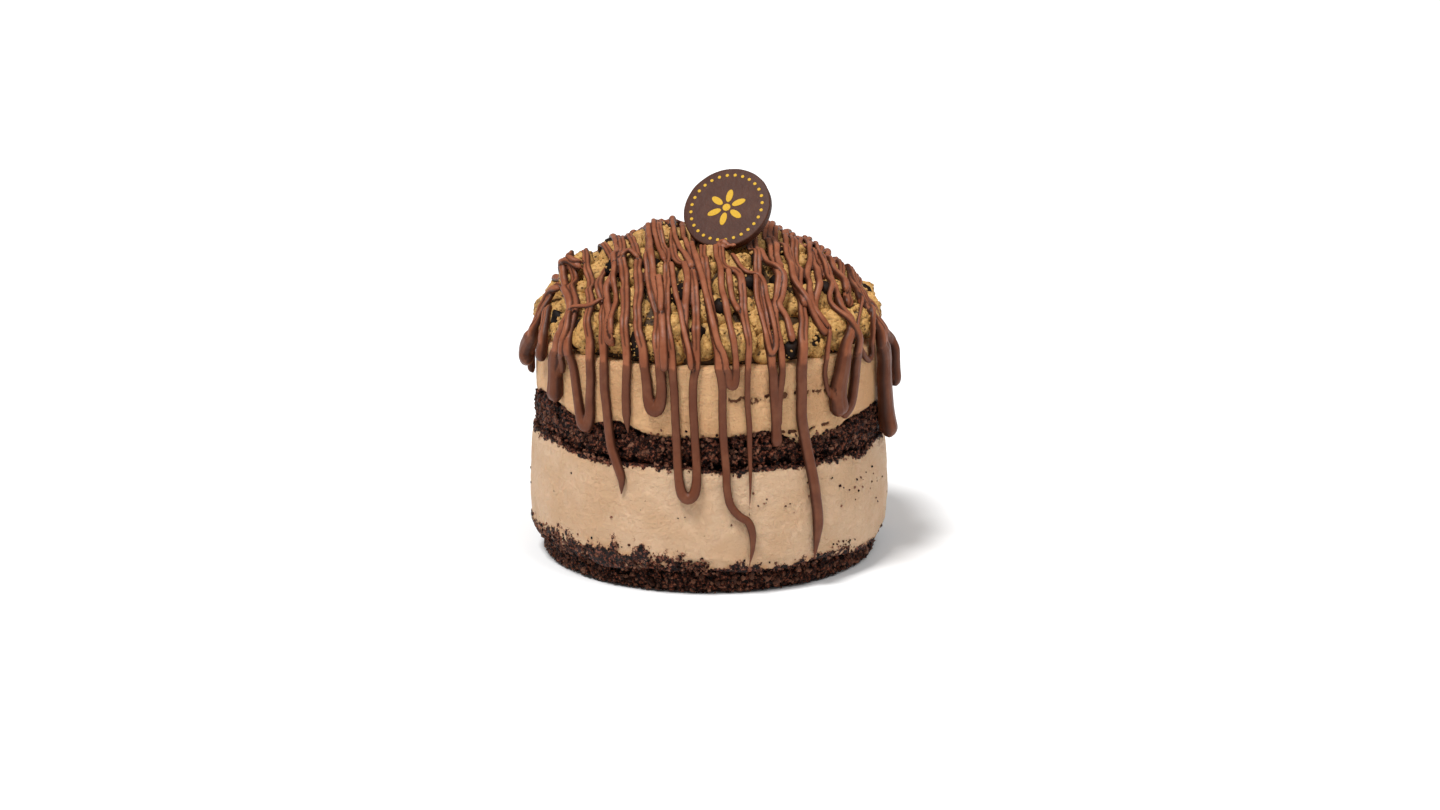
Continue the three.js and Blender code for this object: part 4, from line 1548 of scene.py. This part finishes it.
@dataclass
class Drizzle:
    """Milk chocolate drizzled over the heap from back to front, run down and set.

    The line of a turn is shares of its width and millimetres back from its reach. The crown's end
    and the side's start are from and to how far past the rim a strand changes its width.
    """

    pieces: tuple[tuple[Piece, float, float], ...]
    medallion: Medallion
    ridge: float = 0.9
    ribbon: float = 0.8
    paired_from: float = 2.7
    pair: float = 0.52
    lifted: float = 0.6
    heap_width: float = 1.1
    crown_width: float = 0.86
    side_width: float = 1.12
    merge: float = 0.4
    side_sink: float = 0.25
    step: float = 0.6
    voxel: float = 0.28
    kept: float = 0.4
    # Painted shade: where it starts towards a strand's edge, how dark it gets there, in the middle of paired
    # strands and down the side.
    edge_start: float = 0.55
    edge_shade: float = 0.9
    groove: float = 0.3
    grooved_under: float = 0.66
    groove_shade: float = 0.85
    side_shade: float = 0.5
    beading: float = 0.2
    wobble: float = 0.25
    back_wobble: float = 1.3
    loop_swell: float = 0.4
    back_drop_least: float = 4.0
    back_drop_spread: float = 34.0
    back_drift: float = 2.5
    turn_least: float = 22.0
    turn_spread: float = 26.0
    turn_width: float = 4.0
    turn_room: float = 6.0
    turned_in_from: float = 48.0
    turn_line: Pairs = ((0.2, 8), (0.45, 0), (1, 3), (1.1, 12))
    furthest: float = 61.0
    wobble_length: float = 9.0
    crown_ends: tuple[float, float] = (-48, -25)
    side_starts: tuple[float, float] = (-7, 4)
    rounds: int = 3
    softness: float = 0.5
    softenings: int = 2

    def hanging(self, x: float) -> list[tuple[float, float]]:
        """The far end of a strand that hangs over the far rim near x, as x and run."""
        key = math.floor(x + 0.5)
        drop = self.back_drop_least + self.back_drop_spread * uneven(key, 9) ** 2
        rim_x = min(max(x + self.back_drift * (2 * uneven(key, 10) - 1), -BACK_REACH), BACK_REACH)
        end_x = min(max(rim_x + self.back_drift * (uneven(key, 11) - 0.5), -BACK_REACH), BACK_REACH)
        stations = (((x + rim_x) / 2, -rim_depth(x) / 2), (rim_x, 0), (end_x, drop))
        return [(at, rim_depth(at) + past) for at, past in stations]

    def turning(self, x: float) -> list[tuple[float, float]]:
        """The far end of a strand that turns back on the heap beyond the crown."""
        key = math.floor(10 * x)
        reach = min(self.turn_least + self.turn_spread * uneven(key, 14), rim_depth(x) - self.turn_room)
        side = self.turn_width * (1 if uneven(key, 15) > 0.5 else -1) * (0.8 + 0.5 * uneven(key, 16))
        if abs(x) > self.turned_in_from:
            side = -math.copysign(side, x)
        return [(x + share * side, reach - back) for share, back in self.turn_line]

    def plan(self, strand: Strand) -> np.ndarray:
        """A strand's line in x and run, finely stepped."""
        front = [(x, -(rim_depth(x) + past)) for x, past in strand.route]
        ends = [
            self.turning(near[0]) if x is None else self.hanging(x)
            for x, near in zip(strand.far, (strand.route[0], strand.route[-1]))
        ]
        before = ends[0][::-1] if ends else []
        after = ends[1] if len(ends) > 1 else []
        return centripetal(np.array([*before, *front, *after], float), 20)

    def half_width(self, strand: Strand, along: float, total: float, past: float, depth: float) -> float:
        """Half of a strand's width.

        Args:
            strand: the strand.
            along: how far along it, in millimetres.
            total: its whole length.
            past: how far it is past the rim there.
            depth: how far above its lowest place.

        Returns:
            The half width.
        """
        looped = len(strand.far) == 2
        taper_below, swell, gathers = strand.end.value
        if looped:
            taper_below, swell = End.BLUNT.value[0], self.loop_swell
        on_side = smoothstep(*self.side_starts, past)
        off_crown = smoothstep(*self.crown_ends, past)
        heap_width = self.crown_width + (self.heap_width - self.crown_width) * off_crown
        narrow, wide = heap_width * strand.top / 2, self.side_width * strand.width / 2
        half = narrow + (wide - narrow) * on_side
        half *= 1 + swell * math.exp(-max(depth, 0) / gathers)
        for taper, away in ((End.BLUNT.value[0], along), (taper_below, total - along)):
            share = min(max(away / taper, 0.0), 1.0)
            half *= max(0.2, math.sqrt(share * (2 - share)) if taper < 5 else share**0.7)
        return half

    def laid(self, strand: Strand, number: int, ground: DrapeField) -> Ribbon:
        """A strand laid on the ground below it.

        Args:
            strand: the strand.
            number: its number, which seeds its unevenness.
            ground: what it lies on, raised by it.

        Returns:
            The strand as it lies.
        """
        plan = evenly(self.plan(strand), self.step)
        lowest = max(-run - rim_depth(x) for x, run in plan if run < 0)
        total = (len(plan) - 1) * self.step
        halves, grounds, spots = [], [], []
        for step, (x, run) in enumerate(plan):
            along = step * self.step
            phase = Vector((along / self.wobble_length, number * 7.3, 0))
            past = abs(run) - rim_depth(x)
            loose = self.wobble + (self.back_wobble - self.wobble) * smoothstep(0, 18, run)
            x += loose * noise.noise(phase) * smoothstep(40, 0, past)
            x = min(max(x, -self.furthest), self.furthest)
            depth = lowest + run + rim_depth(x) if run < 0 else min(along, total - along)
            half = self.half_width(strand, along, total, past, depth)
            half *= 1 + self.beading * smoothstep(8, -4, past) * ripple(phase, 0.6, 5, 2)
            spots.append((x, run))
            halves.append(half)
            grounds.append(ground.highest(x, run, half) if past < ground.beyond else 0.0)
        places, thick = [], []
        for (x, run), half, height in zip(spots, halves, settled(np.array(grounds))):
            place, out, past = surface_at(x, run)
            on_side = smoothstep(-4, 4, past)
            ridge = self.ridge
            if strand.top >= self.paired_from:
                split = self.pair + 0.25 * ripple(Vector((x, run, number)), 12, 3, 2)
                ridge = min(max(split, self.pair), ridge)
            share = ridge + (self.ribbon - ridge) * smoothstep(-6, 3, past)
            lift = height + self.lifted * share * half
            lift += self.side_sink * on_side + strand.stand * smoothstep(0, 8, past)
            places.append(place + out * lift)
            thick.append(share)
            if past < 2:
                ground.lay(x, run, half, lift + self.merge * share * half)
        outs = [surface_at(x, run)[1] for x, run in spots]
        ways = [after - before for before, after in zip([places[0], *places], [*places[1:], places[-1]])]
        sides = [way.cross(out).normalized() for way, out in zip(ways, outs)]
        return Ribbon(*(np.array(values) for values in (places, sides, halves, thick)))

    def build(self, surface: BVHTree) -> None:
        """Lays every strand, the widest first, and sets them in pieces from left to right."""
        ground = DrapeField(surface)
        ribbons = {}
        for number in sorted(range(len(STRANDS)), key=lambda number: -STRANDS[number].top):
            ribbons[number] = self.laid(STRANDS[number], number, ground)
        for piece, low, high in self.pieces:
            chosen = [
                part
                for number, strand in enumerate(STRANDS)
                if low <= strand.route[0][0] < high
                for part in self.medallion.parted(ribbons[number])
            ]
            if low <= self.medallion.face[0] < high:
                chosen += self.medallion.dabs()
            mesh = self.fused(chosen, piece.name)
            self.medallion.clear(mesh)
            self.mark_crease_shade(mesh, chosen)
            piece.place(mesh)

    def fused(self, ribbons: list[Ribbon], name: str) -> Mesh:
        """Strands run together into one skin, each from two rounds side by side.

        Args:
            ribbons: the strands as they lie.
            name: the mesh's name.

        Returns:
            The skin.
        """
        curve = bpy.data.curves.new(name + "_lines", "CURVE")
        curve.dimensions = "3D"
        curve.bevel_depth = 1.0
        curve.bevel_resolution = self.rounds
        curve.use_fill_caps = True
        for places, sides, halves, thick in ribbons:
            for hand in (-1, 1):
                spline = curve.splines.new("POLY")
                spline.points.add(len(places) - 1)
                middle = places + hand * sides * ((1 - thick) * halves)[:, None]
                spline.points.foreach_set("co", np.c_[middle, np.ones(len(places))].ravel())
                spline.points.foreach_set("radius", thick * halves)
        item = linked(name + "_skin", worked_out(linked(name + "_rope", curve)))
        skin = item.modifiers.new("skin", "REMESH")
        skin.mode = "VOXEL"
        skin.voxel_size = self.voxel
        soften = item.modifiers.new("soften", "SMOOTH")
        soften.factor = self.softness
        soften.iterations = self.softenings
        fewer = item.modifiers.new("fewer", "DECIMATE")
        fewer.ratio = self.kept
        fused = worked_out(item)
        fused.name = name
        return fused

    def mark_crease_shade(self, mesh: Mesh, ribbons: list[Ribbon]) -> None:
        """Marks from 0 to 1 how much painted shade each place gets in the strands' creases.

        The painted shade runs along the edges of the strands, where they meet, and along the middle of
        paired ones. Down the side the strands get some painted shade all over.

        Args:
            mesh: the strands' skin.
            ribbons: the strands as they lie.
        """
        middles, sides, halves, thick = (np.concatenate(values) for values in zip(*ribbons))
        tree = KDTree(len(middles))
        for index, middle in enumerate(middles):
            tree.insert(middle, index)
        tree.balance()
        places = vertices_of(mesh)
        near = np.array([tree.find(place)[1] for place in places])
        aside = np.abs(((places - middles[near]) * sides[near]).sum(axis=1)) / halves[near]
        # Painted shade along each strand's edges and down the middle of paired strands.
        edge = np.clip((aside - self.edge_start) / (1 - self.edge_start), 0, 1)
        groove = np.clip(1 - aside / self.groove, 0, 1) * (thick[near] < self.grooved_under)
        deep = np.maximum(self.edge_shade * edge * edge * (3 - 2 * edge), self.groove_shade * groove)
        # Painted shade all over the strands down the side.
        deep = np.maximum(deep, self.side_shade * (places[:, 2] < ICE_TOP))
        mark(mesh, "crease_shade", deep)


@dataclass(frozen=True)
class Lamp:
    """A soft lamp far away: its power, where it stands in degrees from the front, and its softness."""

    name: str
    power: float
    turn: float
    height: float
    softness: float = 35.0

    def build(self) -> None:
        """Sets the lamp."""
        data = bpy.data.lights.new(self.name, "SUN")
        data.angle = math.radians(self.softness)
        data.energy = self.power
        turn, height = math.radians(self.turn), math.radians(self.height)
        level = math.cos(height)
        toward = Vector((math.sin(turn) * level, -math.cos(turn) * level, math.sin(height)))
        lamp = linked(self.name, data)
        lamp.location = toward
        lamp.rotation_euler = toward.to_track_quat("Z", "Y").to_euler()


@dataclass
class Studio:
    """Plain pale floor, soft light and the camera at the photo's viewing angle."""

    distance: float = 0.994864
    height: float = 0.315756
    pitch: float = 0.26
    pan: float = 0.004
    lens: float = 72.156
    floor_half: float = 4.0
    sky: float = 0.27
    sensor: float = 36.0
    near: float = 0.05
    lamps: tuple[Lamp, ...] = (Lamp("key", 3.05, -42, 66, 16), Lamp("fill", 1.0, 54, 60))

    def build(self) -> None:
        """Sets the stage, the lights and the camera."""
        self.build_floor()
        self.build_camera()
        for lamp in self.lamps:
            lamp.build()
        world = bpy.data.worlds.new("soft_light")
        world.use_nodes = True
        glow = world.node_tree.nodes["Background"].inputs
        glow["Color"].default_value = (1, 1, 1, 1)
        glow["Strength"].default_value = self.sky
        bpy.context.scene.world = world
        bpy.context.scene.view_settings.view_transform = "Standard"

    def build_floor(self) -> None:
        """Lays the floor just under the cake."""
        plane = bmesh.new()
        bmesh.ops.create_grid(plane, x_segments=8, y_segments=8, size=self.floor_half)
        mesh = mesh_from(plane, "floor")
        mesh.materials.append(made(Finishes.FLOOR))
        linked("floor", mesh)

    def build_camera(self) -> None:
        """Sets the camera where the photo was taken from."""
        data = bpy.data.cameras.new("camera")
        data.sensor_width = self.sensor
        data.lens = self.lens
        data.clip_start = self.near
        camera = linked("camera", data)
        camera.location = (0, -self.distance, self.height)
        camera.rotation_euler = (math.pi / 2 - self.pitch, 0, -self.pan)
        bpy.context.scene.camera = camera


def main() -> None:
    """Builds the cake from the foot up, then the studio round it."""
    layers = (
        CrumbLayer(
            Piece("base_cake_crumb", "base_cake", Slots.CRUMB, Finishes.CRUMB),
            FOOT,
            BASE_JOINT,
            ((57.6, 0), (58.8, 0.25), (59.0, 0.6), (58.6, 1)),
            steps=900,
            rings=22,
            coarse=0.9,
        ),
        IceCreamLayer(
            Piece("lower_ice_cream_band", "lower_ice_cream", Slots.ICE_CREAM, Finishes.LOWER_ICE_CREAM),
            BASE_JOINT,
            LOWER_JOINT,
            ((59.4, 0), (62.0, 0.03), (63.4, 0.14), (64.0, 0.4), (63.6, 0.7), (62.9, 0.92), (62.2, 1)),
            rings=72,
            over_below=(
                (-180, 4), (-140, 7), (-100, 4), (-75, 5), (-55, 8), (-40, 8), (-20, 8), (-8, 5), (3, 2.5),
                (12, 6), (20, 1.5), (34, 3.5), (50, 3), (75, 1.5), (110, 5), (150, 2), (180, 4),
            ),
        ),
        CrumbLayer(
            Piece("middle_cake_crumb", "middle_cake", Slots.CRUMB, Finishes.CRUMB),
            LOWER_JOINT,
            UPPER_JOINT,
            ((60.6, 0), (61.2, 0.2), (61.3, 0.5), (61.2, 0.8), (60.6, 1)),
            steps=960,
            rings=32,
        ),
        IceCreamLayer(
            Piece("upper_ice_cream_band", "upper_ice_cream", Slots.ICE_CREAM, Finishes.UPPER_ICE_CREAM),
            UPPER_JOINT,
            TOP_JOINT,
            ((60.6, 0), (61.1, 0.07), (61.2, 0.35), (61.2, 0.68), (61.1, 0.95), (60.5, 1)),
            rings=54,
            wave=0.2,
            over_below=((-180, 0.5), (180, 0.5)),
            seams=(Seam(69, 6, 44, 3), Seam(56.2, 21, 44, 1.3), Seam(67, 120, 160, 2)),
        ),
        Crumbs(
            Piece("middle_cake_grains", "middle_cake", Slots.CRUMB, Finishes.CRUMB),
            5,
            (
                Band(6, 2.5, 61.0, 3600, 0.75, patchy=False, along=LOWER_JOINT),
                Band(6, 2.3, 60.9, 1100, 1.25, along=LOWER_JOINT),
                Band(0.4, 0.5, 62.0, 1300, 0.65, along=LOWER_JOINT, pale=1.0),
                Band(-1.0, 0.5, 62.2, 420, 0.5, along=LOWER_JOINT, pale=1.0),
                Band(-0.1, 0.35, 61.1, 700, 0.65, along=UPPER_JOINT),
            ),
        ),
        Crumbs(
            Piece("base_cake_grains", "base_cake", Slots.CRUMB, Finishes.CRUMB),
            6,
            (
                Band(3.2, 1.7, 58.8, 2600, 0.75, patchy=False),
                Band(4, 1.5, 58.8, 800, 1.25),
                Band(8.6, 1.0, 61.6, 1500, 0.75, pale=0.9),
                Band(11, 1.6, 63.4, 900, 0.7, -80, 0, pale=1.0),
                Band(14, 1.6, 63.7, 120, 0.5, -80, -10, pale=1.0),
                Band(10, 1.2, 63.2, 260, 0.55, 0, 180, pale=1.0),
                Band(12, 1.2, 63.4, 60, 0.45, 42, 58),
            ),
        ),
        Crumbs(
            Piece("stray_flecks", "lower_ice_cream", Slots.CRUMB, Finishes.CRUMB),
            7,
            (
                Band(33, 3.6, 63.7, 26, 0.55, 30, 66, False),
                Band(32, 4, 63.8, 14, 0.45, 6, 32, False),
                Band(28, 5, 63.8, 8, 0.45, -70, 4, False),
                Band(26, 5, 63.8, 40, 0.5, 66, 290, False),
            ),
        ),
    )
    for layer in layers:
        layer.build()
    medallion = Medallion(
        Piece("medallion_disc", "medallion", Slots.DISC, Finishes.DISC),
        Piece("medallion_print", "medallion", Slots.DISC, Finishes.PRINT),
    )
    surface = DoughHeap(
        (
            (Piece("dough_left", "topping_heap", Slots.HEAP, Finishes.DOUGH), -70, 0),
            (Piece("dough_right", "topping_heap", Slots.HEAP, Finishes.DOUGH), 0, 70),
        ),
        Piece("dough_core", "topping_heap", Slots.HEAP, Finishes.DOUGH),
        Piece("dark_chocolate_and_gap_shade_chunks", "topping_heap", Slots.HEAP, Finishes.DARK_CHOCOLATE_AND_GAP_SHADE),
        Piece("dough_crumbs", "topping_heap", Slots.HEAP, Finishes.DOUGH),
        medallion,
    ).build()
    Drizzle(
        (
            (Piece("drizzle_left", "topping_heap", Slots.HEAP, Finishes.DRIZZLE), -70, -24),
            (Piece("drizzle_mid_left", "topping_heap", Slots.HEAP, Finishes.DRIZZLE), -24, 0),
            (Piece("drizzle_mid_right", "topping_heap", Slots.HEAP, Finishes.DRIZZLE), 0, 28),
            (Piece("drizzle_right", "topping_heap", Slots.HEAP, Finishes.DRIZZLE), 28, 70),
        ),
        medallion,
    ).build(surface)
    medallion.build()
    Studio().build()


if __name__ == "__main__":
    main()
